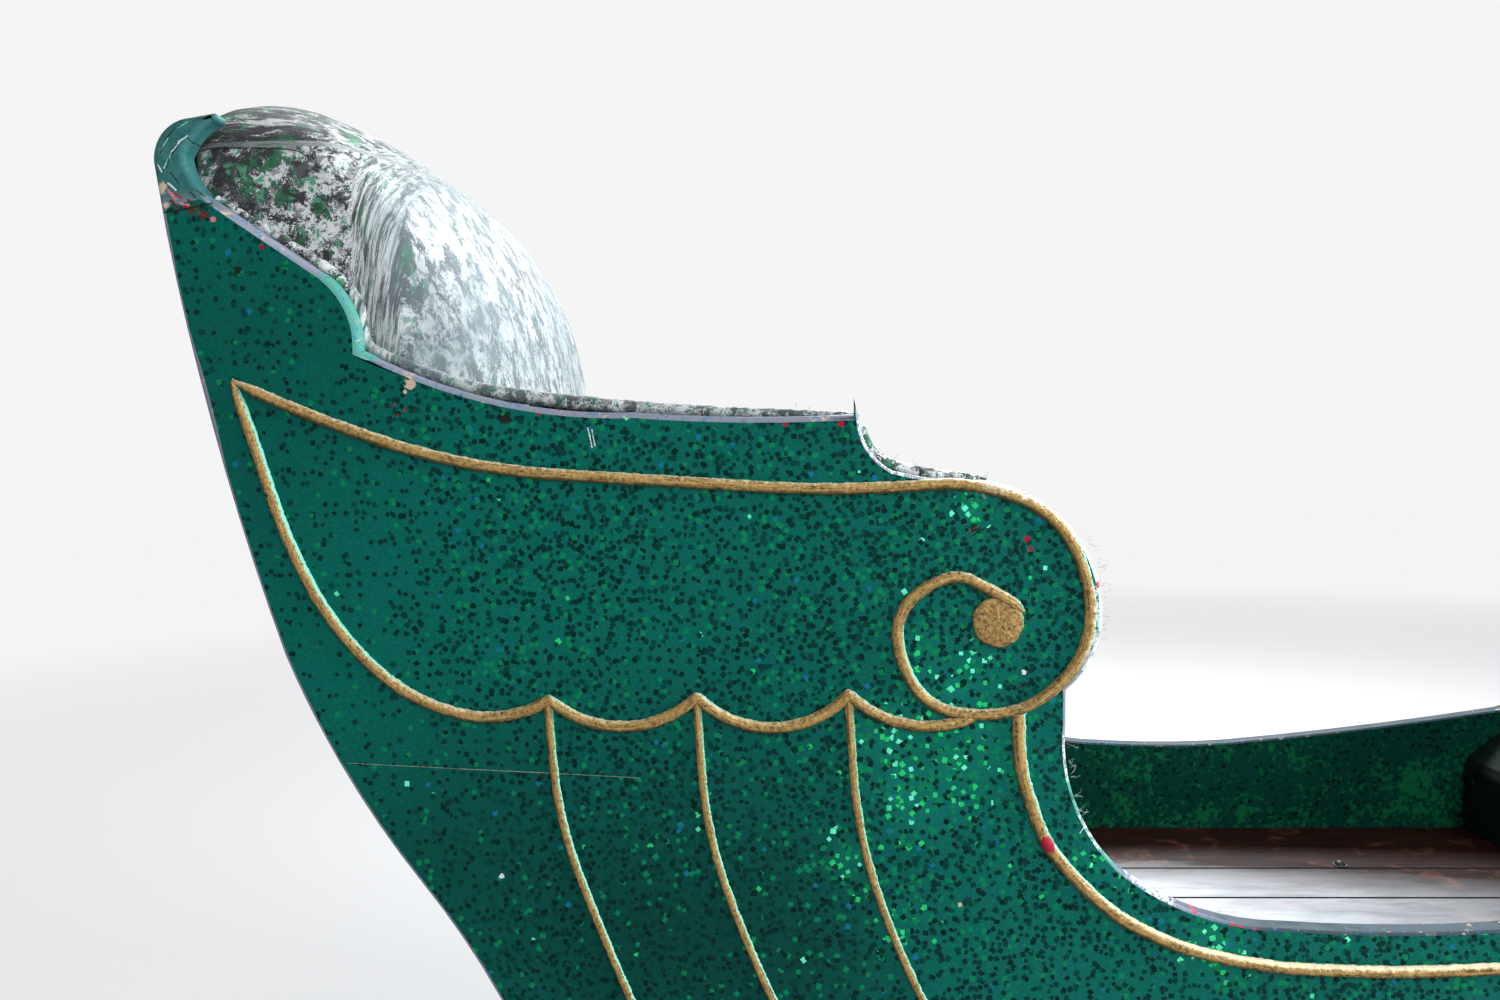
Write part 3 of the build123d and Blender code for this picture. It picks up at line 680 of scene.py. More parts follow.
def makeSide(nodeName, outerPaint):
    piece = mergedCopy(nodeName, nodeName + "_painted")
    mesh = piece.data
    for material in (outerPaint, innerPaint, sawnPaint, arrisPaint):
        mesh.materials.append(material)
    work = bmesh.new()
    work.from_mesh(mesh)
    bmesh.ops.bisect_plane(work, geom=work.verts[:] + work.edges[:] + work.faces[:], dist=1e-6,
                           plane_co=(moveX + sideBoard["rear"], 0, sideBoard["lip"][0]),
                           plane_no=(-sideBoard["lip"][1], 0, 1))
    work.to_mesh(mesh)
    work.free()
    paintMap(piece)
    for polygon in mesh.polygons:
        if polygon.normal.y < -0.7 and overLip(polygon.center) > 0:
            polygon.material_index = 3
        elif polygon.normal.y < -0.7:
            polygon.material_index = 0
        elif polygon.normal.y > 0.7:
            polygon.material_index = 1
        else:
            polygon.material_index = 2
    weights = mesh.attributes.new("bevel_weight_edge", "FLOAT", "EDGE")
    jointX, jointZ, jointSlope = sideBoard["joint"]
    for edge in mesh.edges:
        first, second = (mesh.vertices[index].co for index in edge.vertices)
        flat = abs(first.y - second.y) < 1e-5
        onJoint = all(abs(point.z - jointZ - jointSlope * (point.x - moveX - jointX)) < 0.0012
                      for point in (first, second)) and (first - second).length > 0.02
        onLip = all(abs(overLip(point)) < 1e-5 for point in (first, second))
        if flat and not onJoint and not onLip:
            width = sideBoard["plain"]
            outer = first.y < -halfWidth + 0.001
            rearEdge = (first.x + second.x) / 2 - moveX < -0.625 and (first.z + second.z) / 2 < 1.25
            if outer and not rearEdge and (first.x + second.x) / 2 - moveX < sideBoard["step"]:
                width = next(size for height, size in sideBoard["bands"] if (first.z + second.z) / 2 > height)
            weights.data[edge.index].value = width / sideBoard["widest"]
    bevel = piece.modifiers.new("worn arris", "BEVEL")
    bevel.width = sideBoard["widest"]
    bevel.segments = sideBoard["segments"]
    bevel.limit_method = "WEIGHT"
    bevel.material = 3
    bevel.use_clamp_overlap = False
    applyModifiers(piece)
    for polygon in piece.data.polygons:
        polygon.use_smooth = abs(polygon.normal.y) < 0.995
    dress(piece, nodeName)
    return piece


def mirrored(piece, nodeName, outerPaint):
    # the left board is the right one turned over
    mesh = piece.data.copy()
    mesh.name = nodeName + "_painted"
    for vert in mesh.vertices:
        vert.co.y = -vert.co.y
    mesh.flip_normals()
    mesh.materials[0] = outerPaint
    dress(sceneObject(mesh.name, mesh), nodeName)


for board in ("upper", "lower"):
    rightBoard = makeSide(f"side_board_{board}_right", sidePaint)
    mirrored(rightBoard, f"side_board_{board}_left", farSidePaint)
print("stage: side boards")


# Gilded beads: paths as the carver drew them, in millimetres in the side board's plane

def arc(start, middle, end, steps=24):
    ax, az = start
    bx, bz = middle
    cx, cz = end
    double = 2 * (ax * (bz - cz) + bx * (cz - az) + cx * (az - bz))
    if abs(double) < 1e-6:
        return [(ax + (cx - ax) * i / steps, az + (cz - az) * i / steps) for i in range(steps + 1)]
    aa, bb, cc = ax ** 2 + az ** 2, bx ** 2 + bz ** 2, cx ** 2 + cz ** 2
    ux = (aa * (bz - cz) + bb * (cz - az) + cc * (az - bz)) / double
    uz = (aa * (cx - bx) + bb * (ax - cx) + cc * (bx - ax)) / double
    radius = math.hypot(ax - ux, az - uz)
    first, mid, last = (math.atan2(z - uz, x - ux) for x, z in (start, middle, end))
    sweep = (last - first) % (2 * math.pi)
    if (mid - first) % (2 * math.pi) > sweep:
        sweep -= 2 * math.pi
    return [(ux + radius * math.cos(first + sweep * i / steps),
             uz + radius * math.sin(first + sweep * i / steps))
            for i in range(steps + 1)]


def flowing(start, heading, *ends):
    # arcs that each leave in the direction in which the last one arrived
    points = [start]
    here, way = start, heading
    for end in ends:
        dx, dz = end[0] - here[0], end[1] - here[1]
        size = math.hypot(*way)
        way = (way[0] / size, way[1] / size)
        across = -way[1] * dx + way[0] * dz
        along = way[0] * dx + way[1] * dz
        if abs(across) < 1e-6:
            points += [(here[0] + dx * i / 8, here[1] + dz * i / 8) for i in range(1, 9)]
        else:
            radius = (dx * dx + dz * dz) / (2 * across)
            ux, uz = here[0] - way[1] * radius, here[1] + way[0] * radius
            sweep = 2 * math.atan2(across, along)
            first = math.atan2(here[1] - uz, here[0] - ux)
            steps = 12
            for i in range(1, steps + 1):
                angle = first + sweep * i / steps
                points.append((ux + abs(radius) * math.cos(angle), uz + abs(radius) * math.sin(angle)))
            way = (way[0] * math.cos(sweep) - way[1] * math.sin(sweep),
                   way[0] * math.sin(sweep) + way[1] * math.cos(sweep))
        here = end
    return points


bead = {
    "wingRadius": 6.4, "plumeRadius": 4.5, "frontRadius": 7.1, "lump": 1.2, "step": 0.0020, "sides": 14,
    "sunk": 0.0004, "tip": 0.35, "wingTaper": (26, 12), "frontTaper": (0, 40), "bossRadius": 27,
    "break": (262, 496, 0.006),      # where the wing's foot has cracked across, in the picture
}
scroll = flowing((-593, 1073), (0.90, -0.44), (-436, 1008), (-244, 969), (-33, 954), (145, 954), (243, 936),
                 (299, 877), (311, 820), (300, 772), (267, 733), (216, 712), (167, 714), (127, 742),
                 (110, 791), (126, 835), (160, 855), (190, 852), (226, 832), (242, 819))
wingFoot = flowing((-593, 1073), (0.32, -0.95), (-555, 953), (-517, 857), (-447, 763), (-349, 713),
                   (-261, 729))
scallopLines = [arc((-261, 729), (-183, 700), (-103, 731)), arc((-103, 731), (-28, 698), (58, 733)),
                arc((58, 733), (125, 700), (195, 711))]
wingFoot += [point for line in scallopLines for point in line[1:]]
plumeLines = [
    flowing((-262, 726), (0.04, -1.0), (-257, 650), (-232, 538), (-180, 404), (-143, 310)),
    flowing((-103, 728), (0.04, -1.0), (-98, 640), (-75, 526), (-28, 407), (10, 310)),
    flowing((58, 730), (0.04, -1.0), (63, 640), (86, 522), (132, 407), (170, 310)),
]
frontLow = [(236, 712), (238, 662), (248, 619), (271, 565), (327, 505), (382, 472), (437, 453), (503, 441),
            (569, 437), (650, 436), (790, 443), (918, 460)]


def smoothPath(points, steps=6):
    # a curve through every point (Catmull-Rom), for points of any size
    points = [Vector(point) for point in points]
    result = []
    for index in range(len(points) - 1):
        before = points[max(index - 1, 0)]
        first, second = points[index], points[index + 1]
        after = points[min(index + 2, len(points) - 1)]
        for step in range(steps):
            t = step / steps
            bend = 2 * before - 5 * first + 4 * second - after
            twist = 3 * first - before - 3 * second + after
            result.append(0.5 * (2 * first + (second - before) * t + bend * t * t + twist * t ** 3))
    result.append(points[-1])
    return result


frontPlume = [(point.x, point.y) for point in smoothPath([(x, z, 0) for x, z in frontLow], 10)]
frontPlume += flowing((918, 460), (0.98, 0.16), (1180, 495), (1298, 556), (1370, 655), (1398, 750),
                      (1424, 815), (1476, 846))[1:]


def geoTree(name, inputs):
    tree = bpy.data.node_groups.new(name, "GeometryNodeTree")
    tree.interface.new_socket(name="Geometry", in_out="INPUT", socket_type="NodeSocketGeometry")
    for label, kind, value in inputs:
        socket = tree.interface.new_socket(name=label, in_out="INPUT", socket_type=kind)
        if value is not None:
            socket.default_value = value
    tree.interface.new_socket(name="Geometry", in_out="OUTPUT", socket_type="NodeSocketGeometry")
    return tree, tree.nodes.new("NodeGroupInput").outputs, tree.nodes.new("NodeGroupOutput").inputs


def runTree(obj, tree, values, name):
    modifier = obj.modifiers.new("nodes", "NODES")
    modifier.node_group = tree
    for item in tree.interface.items_tree:
        if item.in_out == "INPUT" and item.name in values:
            modifier[item.identifier] = values[item.name]
    obj.update_tag()
    mesh = evaluatedMesh(obj)
    bpy.data.objects.remove(obj)
    mesh.name = name
    return sceneObject(name, mesh)


# A rope along a line: an uneven tube whose points keep how far along they lie and their place on the ring,
# for the ribs of the gilding
ropeTree, tIn, tOut = geoTree("rope", (
    ("Step", floatKind, 0.003), ("Sides", "NodeSocketInt", 12), ("Lump", floatKind, 0.001),
    ("Lump Scale", floatKind, 95.0), ("Coarse", floatKind, 1.6), ("Fine", floatKind, 3.0),
    ("Fine Scale", floatKind, 380.0), ("Seed", floatKind, 0.0), ("Material", "NodeSocketMaterial", None)))
line = add(ropeTree, "GeometryNodeResampleCurve", {
    "Curve": tIn["Geometry"], "Length": tIn["Step"]}, mode="LENGTH").outputs[0]
line = add(ropeTree, "GeometryNodeStoreNamedAttribute", {
    "Geometry": line, "Name": "run", "Value": add(ropeTree, "GeometryNodeSplineParameter").outputs["Length"]},
    data_type="FLOAT", domain="POINT").outputs[0]
position = add(ropeTree, "GeometryNodeInputPosition").outputs[0]
ring = add(ropeTree, "GeometryNodeCurvePrimitiveCircle", {
    "Resolution": tIn["Sides"], "Radius": 1.0}, mode="RADIUS").outputs[0]
ring = add(ropeTree, "GeometryNodeStoreNamedAttribute", {
    "Geometry": ring, "Name": "ring", "Value": position}, data_type="FLOAT_VECTOR", domain="POINT").outputs[0]
tube = add(ropeTree, "GeometryNodeCurveToMesh", {
    "Curve": line, "Profile Curve": ring, "Fill Caps": True,
    "Scale": add(ropeTree, "GeometryNodeInputRadius").outputs[0]}).outputs[0]
push = 0.0
for share, scale in (("Coarse", "Lump Scale"), ("Fine", "Fine Scale")):
    field = add(ropeTree, "ShaderNodeTexNoise", {
        "Vector": position, "W": tIn["Seed"], "Scale": tIn[scale], "Detail": 2.0, "Roughness": 0.6},
        noise_dimensions="4D").outputs["Fac"]
    push = plus(ropeTree, push, times(ropeTree, less(ropeTree, field, 0.5), tIn[share]))
push = times(ropeTree, push, tIn["Lump"])
push = vec(ropeTree, "SCALE", add(ropeTree, "GeometryNodeInputNormal").outputs[0], push)
tube = add(ropeTree, "GeometryNodeSetPosition", {"Geometry": tube, "Offset": push}).outputs[0]
tube = add(ropeTree, "GeometryNodeSetShadeSmooth", {"Geometry": tube, "Shade Smooth": True}).outputs[0]
tube = add(ropeTree, "GeometryNodeSetMaterial", {"Geometry": tube, "Material": tIn["Material"]}).outputs[0]
link(ropeTree, add(ropeTree, "GeometryNodeRealizeInstances", {"Geometry": tube}).outputs[0], tOut["Geometry"])

gold = {
    "gold": rgb(174, 142, 84), "pale": rgb(214, 190, 134), "highlightCream": rgb(232, 222, 192),
    "deep": rgb(72, 48, 20), "shade": rgb(62, 46, 26), "under": rgb(10, 106, 92), "mint": rgb(126, 226, 204),
    "red": (1047, 845, 0.011),       # a spot of red paint on the front plume, by its place in the picture
}


def gilding():
    material, tree, shader = newMaterial("gilding", Metallic=0.2, Roughness=0.5, Specular_IOR_Level=0.3)
    space = objectSpace(tree)
    run = add(tree, "ShaderNodeAttribute", attribute_name="run").outputs["Fac"]
    ringPlace = add(tree, "ShaderNodeAttribute", attribute_name="ring").outputs["Vector"]
    rag = cloud(tree, space, 170.0, 8.0, 0.78)
    # ribs of brushed paste that run along each bead
    ribs = cloud(tree, vec(tree, "ADD", vec(tree, "SCALE", ringPlace, 0.010), vec(
        tree, "SCALE", (0.0, 0.0, 0.055), run)), 330.0, 5.0, 0.7, 0.6)
    fine = cloud(tree, space, 620.0, 4.0, 0.7)
    broad = cloud(tree, space, 52.0, 5.0, 0.65)
    rough = plus(tree, times(tree, ribs, 0.65), times(tree, fine, 0.35))
    blotches = cloud(tree, space, 240.0, 6.0, 0.75)
    rough = plus(tree, times(tree, rough, 0.6), times(tree, blotches, 0.4))
    base = mix(tree, fade(tree, rough, 0.42, 0.52), gold["deep"], gold["gold"])
    base = mix(tree, fade(tree, rough, 0.54, 0.61, 0.0, 0.6), base, gold["pale"])
    face = parts(tree, add(tree, "ShaderNodeNewGeometry").outputs["Normal"])
    # painted highlight: flanks that face up and forward take cream, as where light falls on them
    level = plus(tree, times(tree, face[2], 0.8), times(tree, face[0], 0.35))
    upper = plus(tree, level, times(tree, less(tree, blotches, 0.5), 1.2))
    # painted highlight: the stretch by the entry takes more cream
    entryHighlight = fade(tree, parts(tree, space)[0], moveX + 0.32, moveX + 0.45)
    upper = plus(tree, upper, times(tree, entryHighlight, 0.28))
    base = mix(tree, fade(tree, upper, 0.48, 0.80, 0.0, 0.75), base, gold["highlightCream"])
    # painted shade: flanks that face down go dark brown
    under = fade(tree, plus(tree, level, times(tree, less(tree, broad, 0.5), 0.8)),
                 -0.30, -0.62, 0.0, 0.75)
    base = mix(tree, under, base, gold["shade"])
    flank = fade(tree, calc(tree, "ABSOLUTE", face[1]), 0.46, 0.20)
    bare = calc(tree, "GREATER_THAN", plus(tree, flank, times(tree, broad, 1.5)), 1.52)
    base = mix(tree, bare, base, gold["under"])
    # painted highlight: the front flank, teal under the gilding, is lit mint
    mintLit = plus(tree, times(tree, face[0], 0.9), times(tree, face[2], 0.3))
    mintLit = plus(tree, mintLit, times(tree, less(tree, fine, 0.5), 0.9))
    base = mix(tree, fade(tree, mintLit, 0.66, 0.78), base, gold["mint"])
    # the outer flank round the volute is rubbed pale with the rim, and lit pale as painted highlight
    apart = parts(tree, space)
    flat = add(tree, "ShaderNodeCombineXYZ", {0: apart[0], 1: apart[2]}).outputs[0]
    pale = rubbedAndLitRing(tree, space, flat, volute["onBead"])
    base = mix(tree, pale, base, mix(tree, fade(tree, fine, 0.45, 0.55), paint["undercoatAndHighlight"], gold["pale"]))
    px, py, radius = gold["red"]
    spot = chip(tree, rag, space, onSide(px, py, -halfWidth - 0.006), radius, 0.4)
    base = mix(tree, spot, base, paint["red"])
    px, py, radius = bead["break"]
    narrow = (0.6, 1.0, 1.8)
    cracked = chip(tree, rag, vec(tree, "MULTIPLY", space, narrow),
                   vec(tree, "MULTIPLY", onSide(px, py, -halfWidth - 0.005), narrow), radius)
    base = mix(tree, cracked, base, paint["dirt"])
    link(tree, base, shader.inputs["Base Color"])
    link(tree, times(tree, less(tree, 1.0, bare), 0.25), shader.inputs["Metallic"])
    link(tree, fade(tree, fine, 0.3, 0.7, 0.62, 0.4), shader.inputs["Roughness"])
    link(tree, bump(tree, rough, 0.9, 0.0016), shader.inputs["Normal"])
    return material


goldPaint = gilding()


def boss(x, z, side, seed):
    # a low domed disc of gold paste with a ragged rim
    work = bmesh.new()
    rings, spokes = 12, 72
    rows = []
    for r in range(rings + 1):
        t = r / rings
        row = []
        for s in range(spokes):
            angle = 2 * math.pi * s / spokes
            rag = noise.noise(Vector((math.cos(angle) * 2.2, math.sin(angle) * 2.2, seed)))
            fine = noise.noise(Vector((math.cos(angle) * 9, math.sin(angle) * 9, seed + 4)))
            span = bead["bossRadius"] * (1 + 0.05 * rag + 0.035 * fine) * (math.sin(t * math.pi / 2) ** 0.8)
            height = 6.0 * math.cos(t * math.pi / 2) ** 0.45
            px, pz = x + span * math.cos(angle), z + span * math.sin(angle)
            bumpy = noise.noise(Vector((px, pz, 0)) * 0.17) * 1.6
            bumpy += noise.noise(Vector((px, pz, 3)) * 0.52) * 1.3
            height = height + bumpy * (1 - t) - 1.0
            row.append(work.verts.new((px / 1000 + moveX, side * (halfWidth + height / 1000), pz / 1000)))
        rows.append(row)
    top = work.verts.new((x / 1000 + moveX, side * (halfWidth + 0.0052), z / 1000))
    for s in range(spokes):
        n = (s + 1) % spokes
        work.faces.new((top, rows[1][s], rows[1][n]))
        for r in range(1, rings):
            work.faces.new((rows[r][s], rows[r + 1][s], rows[r + 1][n], rows[r][n]))
    work.faces.new(rows[rings])
    for vert in rows[0]:
        work.verts.remove(vert)
    bmesh.ops.recalc_face_normals(work, faces=work.faces)
    mesh = bpy.data.meshes.new("boss")
    work.to_mesh(mesh)
    work.free()
    mesh.materials.append(goldPaint)
    for polygon in mesh.polygons:
        polygon.use_smooth = True
    return sceneObject("boss", mesh)


def joined(name, pieces):
    work = bmesh.new()
    for piece in pieces:
        work.from_mesh(piece.data)
    mesh = bpy.data.meshes.new(name)
    work.to_mesh(mesh)
    work.free()
    for material in pieces[0].data.materials:
        mesh.materials.append(material)
    for piece in pieces:
        bpy.data.objects.remove(piece)
    return sceneObject(name, mesh)


def tapered(points, radius, startTaper=0.0, endTaper=0.0):
    # radii along the line, thinner over the first and last stretch in mm
    run = [0.0]
    for (ax, az), (bx, bz) in zip(points, points[1:]):
        run.append(run[-1] + math.hypot(bx - ax, bz - az))
    radii = []
    for far in run:
        value = radius
        if startTaper and far < startTaper:
            value *= bead["tip"] + (1 - bead["tip"]) * far / startTaper
        if endTaper and run[-1] - far < endTaper:
            value *= bead["tip"] + (1 - bead["tip"]) * (run[-1] - far) / endTaper
        radii.append(value)
    return radii


def curveObject(name, paths):
    # each path is (points, radii) in metres
    data = bpy.data.curves.new(name, "CURVE")
    data.dimensions = "3D"
    for points, radii in paths:
        spline = data.splines.new("POLY")
        spline.points.add(len(points) - 1)
        for item, point, radius in zip(spline.points, points, radii):
            item.co = (*point, 1)
            item.radius = radius
    return sceneObject(name, data)


def beadPiece(name, lines, side, seed):
    paths = [([(x / 1000 + moveX, side * (halfWidth - bead["sunk"]), z / 1000) for x, z in points],
              [radius / 1000 for radius in radii]) for points, radii in lines]
    return runTree(curveObject(name, paths), ropeTree, {
        "Step": bead["step"], "Sides": bead["sides"], "Lump": bead["lump"] / 1000, "Seed": seed,
        "Material": goldPaint}, name)


for side, label in bothSides:
    wingLines = [(line, tapered(line, bead["wingRadius"], *bead["wingTaper"])) for line in (scroll, wingFoot)]
    wing = joined(f"wing_gilding_{label}", [
        beadPiece("wing", wingLines, side, 2.0), boss(215, 809, side, 1.3)])
    dress(wing, f"wing_bead_{label}")
    plumes = [(line, tapered(line, bead["plumeRadius"])) for line in plumeLines]
    plumes.append((frontPlume, tapered(frontPlume, bead["frontRadius"], *bead["frontTaper"])))
    plume = joined(f"plume_gilding_{label}", [
        beadPiece("plume", plumes, side, 7.0), boss(1474, 872, side, 5.9)])
    dress(plume, f"plume_beads_{label}")
print("stage: gilded beads")


# Jacquard: ragged blotches of charcoal, silver and two greens

cloth = {
    "charcoal": rgb(44, 43, 50), "grey": rgb(84, 82, 90), "silver": rgb(230, 235, 238),
    "dim": rgb(146, 150, 156), "green": rgb(16, 104, 66), "mint": rgb(74, 164, 126), "ink": rgb(26, 34, 42),
    "glare": rgb(122, 140, 147), "gaps": rgb(28, 29, 34), "threads": 300.0, "blotch": 40.0,
    "seamHeight": 1.325, "highlightFrom": -0.59, "highlightTo": -0.46,
    # each colour laid over the ground: shift and scale of its blotches, speckle in them, and where it starts
    "figures": (
        ("green", (9.0, 2.0, 5.0), 1.1, 0.22, 0.562), ("mint", (3.0, 8.0, 4.0), 1.4, 0.22, 0.586),
        ("ink", (7.0, 5.0, 9.0), 1.5, 0.16, 0.590)),
}


def jacquard(name):
    material, tree, shader = newMaterial(name, Roughness=0.55, Sheen_Weight=0.2, Sheen_Roughness=0.4,
                                         Specular_IOR_Level=0.4)
    space = objectSpace(tree)
    apart = parts(tree, space)
    # the figure runs long over the top of the roll and down its front
    over = fade(tree, apart[2], cloth["seamHeight"], cloth["seamHeight"] + 0.006)
    front = fade(tree, apart[0], moveX - 0.47, moveX - 0.42)
    space = mix(tree, over, space, vec(tree, "MULTIPLY", space, (0.42, 1.0, 1.7)))
    space = mix(tree, front, space, vec(tree, "MULTIPLY", space, (1.0, 1.3, 0.8)))

    def blots(shift, scale):
        return cloud(tree, vec(tree, "ADD", space, shift), cloth["blotch"] * scale, 10.0, 0.72, 0.35)

    speckle = less(tree, cloud(tree, space, 640.0, 4.0, 0.8), 0.5)
    ragged = plus(tree, blots((0.0, 0.0, 0.0), 1.0), times(tree, speckle, 0.42))
    dark = mix(tree, fade(tree, blots((2.0, 3.0, 6.0), 1.1), 0.54, 0.57), cloth["charcoal"], cloth["grey"])
    light = mix(tree, fade(tree, blots((6.0, 1.0, 2.0), 2.2), 0.54, 0.57), cloth["silver"], cloth["dim"])
    # painted light: more silver towards the front of the roll, which faces the light, and more charcoal at
    # its end under the crest, in painted shade
    share = fade(tree, apart[0], moveX + cloth["highlightFrom"], moveX + cloth["highlightTo"], -0.022, 0.048)
    share = plus(tree, ragged, share)
    base = mix(tree, fade(tree, share, 0.520, 0.528), dark, light)
    for colour, shift, scale, grain, level in cloth["figures"]:
        figure = plus(tree, blots(shift, scale), times(tree, speckle, grain))
        base = mix(tree, fade(tree, figure, level, level + 0.008), base, cloth[colour])
    # painted sheen: the front of the roll is washed pale in patches, as by glare of light on the satin
    glarePatches = fade(tree, cloud(tree, space, 7.0, 3.0, 0.6), 0.34, 0.58, 0.40, 0.84)
    glarePatches = times(tree, glarePatches, fade(tree, apart[2], 1.00, 1.10))
    base = mix(tree, times(tree, front, glarePatches), base, cloth["glare"])
    # woven threads, and the raised figure of the weave
    threads = {"Vector": space, "Scale": cloth["threads"], "Distortion": 0.4}
    weft, warp = (add(tree, "ShaderNodeTexWave", threads, bands_direction=way).outputs["Fac"] for way in "ZY")
    weave = times(tree, weft, warp)
    base = mix(tree, fade(tree, weave, 0.0, 1.0, 0.26, 0.0), base, cloth["gaps"])
    link(tree, base, shader.inputs["Base Color"])
    link(tree, fade(tree, share, 0.50, 0.54, 0.75, 0.38), shader.inputs["Roughness"])
    height = plus(tree, times(tree, weave, 0.4), fade(tree, share, 0.50, 0.54))
    height = plus(tree, height, times(tree, cloud(tree, space, 60.0, 4.0, 0.6), 1.2))
    link(tree, bump(tree, height, 0.6, 0.0011), shader.inputs["Normal"])
    return material


jacquardCloth = jacquard("jacquard")

# Soft pieces are stuffed by a short cloth run, and seams and puckers come after it

stuffing = {"mass": 0.25, "stiffness": 8, "bending": 0.6, "growth": -0.02, "frames": 20}


def smoothFaces(mesh):
    for polygon in mesh.polygons:
        polygon.use_smooth = True


def stuffed(piece, voxel, pressure, cap, limitY):
    remesh = piece.modifiers.new("even mesh", "REMESH")
    remesh.mode = "VOXEL"
    remesh.voxel_size = voxel
    applyModifiers(piece)
    start = [vert.co.copy() for vert in piece.data.vertices]
    soft = piece.modifiers.new("stuffing", "CLOTH")
    setup = soft.settings
    setup.quality = 5
    setup.mass = stuffing["mass"]
    setup.tension_stiffness = setup.compression_stiffness = stuffing["stiffness"]
    setup.bending_stiffness = stuffing["bending"]
    setup.shrink_min = stuffing["growth"]
    setup.use_pressure = True
    setup.uniform_pressure_force = pressure
    setup.effector_weights.gravity = 0
    soft.point_cache.frame_start, soft.point_cache.frame_end = 1, stuffing["frames"]
    scene = bpy.context.scene
    for number in range(1, stuffing["frames"] + 1):
        scene.frame_set(number)
    graph = bpy.context.evaluated_depsgraph_get()
    blown = [vert.co.copy() for vert in piece.evaluated_get(graph).data.vertices]
    piece.modifiers.clear()
    scene.frame_set(1)
    for vert, first, last in zip(piece.data.vertices, start, blown):
        move = last - first
        if move.length > cap:
            move *= cap / move.length
        spot = first + move
        spot.y = max(-limitY, min(limitY, spot.y))
        vert.co = spot
    smoothFaces(piece.data)


def nearestOn(path, spot):
    # distance from a path of points and how far along it the nearest place is
    best, where = 1e9, 0.0
    run = 0.0
    for first, second in zip(path, path[1:]):
        way = second - first
        size = way.length
        t = max(0.0, min(1.0, (spot - first).dot(way) / max(size * size, 1e-12)))
        gap = (spot - first - way * t).length
        if gap < best:
            best, where = gap, run + size * t
        run += size
    return best, where


def seamed(piece, paths, depth=0.0028, pucker=0.0016, reach=0.030, pitch=0.017, seed=3.0):
    # pulls the cloth in along each seam and gathers it beside the seam
    normals = [vert.normal.copy() for vert in piece.data.vertices]
    lows = [min(point[k] for path in paths for point in path) - 0.05 for k in range(3)]
    highs = [max(point[k] for path in paths for point in path) + 0.05 for k in range(3)]
    for vert, normal in zip(piece.data.vertices, normals):
        if any(vert.co[k] < lows[k] or vert.co[k] > highs[k] for k in range(3)):
            continue
        gap, run = min((nearestOn(path, vert.co) for path in paths), key=lambda pair: pair[0])
        if gap > reach * 2.2:
            continue
        fold = noise.noise(Vector((run / pitch, gap / 0.05, seed)))
        inward = depth * math.exp(-(gap / 0.0055) ** 2)
        vert.co -= normal * (inward + pucker * fold * math.exp(-(gap / reach) ** 2))


def subdivided(piece):
    modifier = piece.modifiers.new("smooth", "SUBSURF")
    modifier.levels = modifier.render_levels = 1
    applyModifiers(piece)
    smoothFaces(piece.data)


def meshObject(name, work, material):
    bmesh.ops.recalc_face_normals(work, faces=work.faces)
    mesh = bpy.data.meshes.new(name)
    work.to_mesh(mesh)
    work.free()
    mesh.materials.append(material)
    smoothFaces(mesh)
    return sceneObject(name, mesh)


def evenly(points, count):
    run = [0.0]
    for first, second in zip(points, points[1:]):
        run.append(run[-1] + (second - first).length)
    result, index = [], 0
    for step in range(count):
        target = run[-1] * step / (count - 1)
        while index < len(run) - 2 and run[index + 1] < target:
            index += 1
        share = (target - run[index]) / max(run[index + 1] - run[index], 1e-9)
        result.append(points[index].lerp(points[index + 1], share))
    return result


# Padded back: one row for each point of its section, from the rear of its top round to its foot, in mm: x and
# z at the ends, x and z in the middle, and how soon it fills out from the ends

pad = {
    "rows": (
        (-650, 1262, -650, 1290, 2.6), (-648, 1296, -654, 1350, 6.0), (-640, 1317, -657, 1384, 6.0),
        (-618, 1325, -627, 1400, 6.0), (-579, 1324, -580, 1407, 3.6), (-532, 1321, -530, 1388, 3.0),
        (-512, 1309, -478, 1361, 2.8), (-488, 1270, -424, 1319, 2.7), (-460, 1213, -375, 1256, 2.6),
        (-443, 1136, -336, 1179, 2.6), (-422, 1060, -316, 1090, 2.6), (-405, 960, -310, 990, 2.6),
        (-418, 802, -324, 802, 2.6)),
    "rear": (-508, 802), "stations": 72, "points": 90, "voxel": 0.0075, "pressure": 3.5, "cap": 0.008,
    "inset": 0.0015,
}


def padRing(share):
    # share is 0 in the middle of the sleigh and 1 at either end
    keys = []
    for endX, endZ, middleX, middleZ, power in pad["rows"]:
        full = max(0.0, 1 - share ** power) ** 0.5
        keys.append((endX + (middleX - endX) * full, endZ + (middleZ - endZ) * full, 0))
    line = evenly(smoothPath(keys), pad["points"])
    rear = Vector((pad["rear"][0], pad["rear"][1], 0))
    foot = [line[-1].lerp(rear, i / 10) for i in range(1, 11)]
    back = [rear.lerp(line[0], i / 26) for i in range(1, 26)]
    return line + foot + back


def makePad():
    work = bmesh.new()
    rows = []
    halfLength = innerHalf - 0.001 - pad["inset"]
    for index in range(pad["stations"] + 1):
        t = math.sin((-1 + 2 * index / pad["stations"]) * math.pi / 2)
        rows.append([work.verts.new((point.x / 1000 + moveX, halfLength * t, point.y / 1000))
                     for point in padRing(abs(t))])
    count = len(rows[0])
    for first, second in zip(rows, rows[1:]):
        for k in range(count):
            work.faces.new((first[k], second[k], second[(k + 1) % count], first[(k + 1) % count]))
    work.faces.new(rows[0])
    work.faces.new(reversed(rows[-1]))
    piece = meshObject("padded_back", work, jacquardCloth)
    stuffed(piece, pad["voxel"], pad["pressure"], pad["cap"], innerHalf - 0.0008)
    return piece


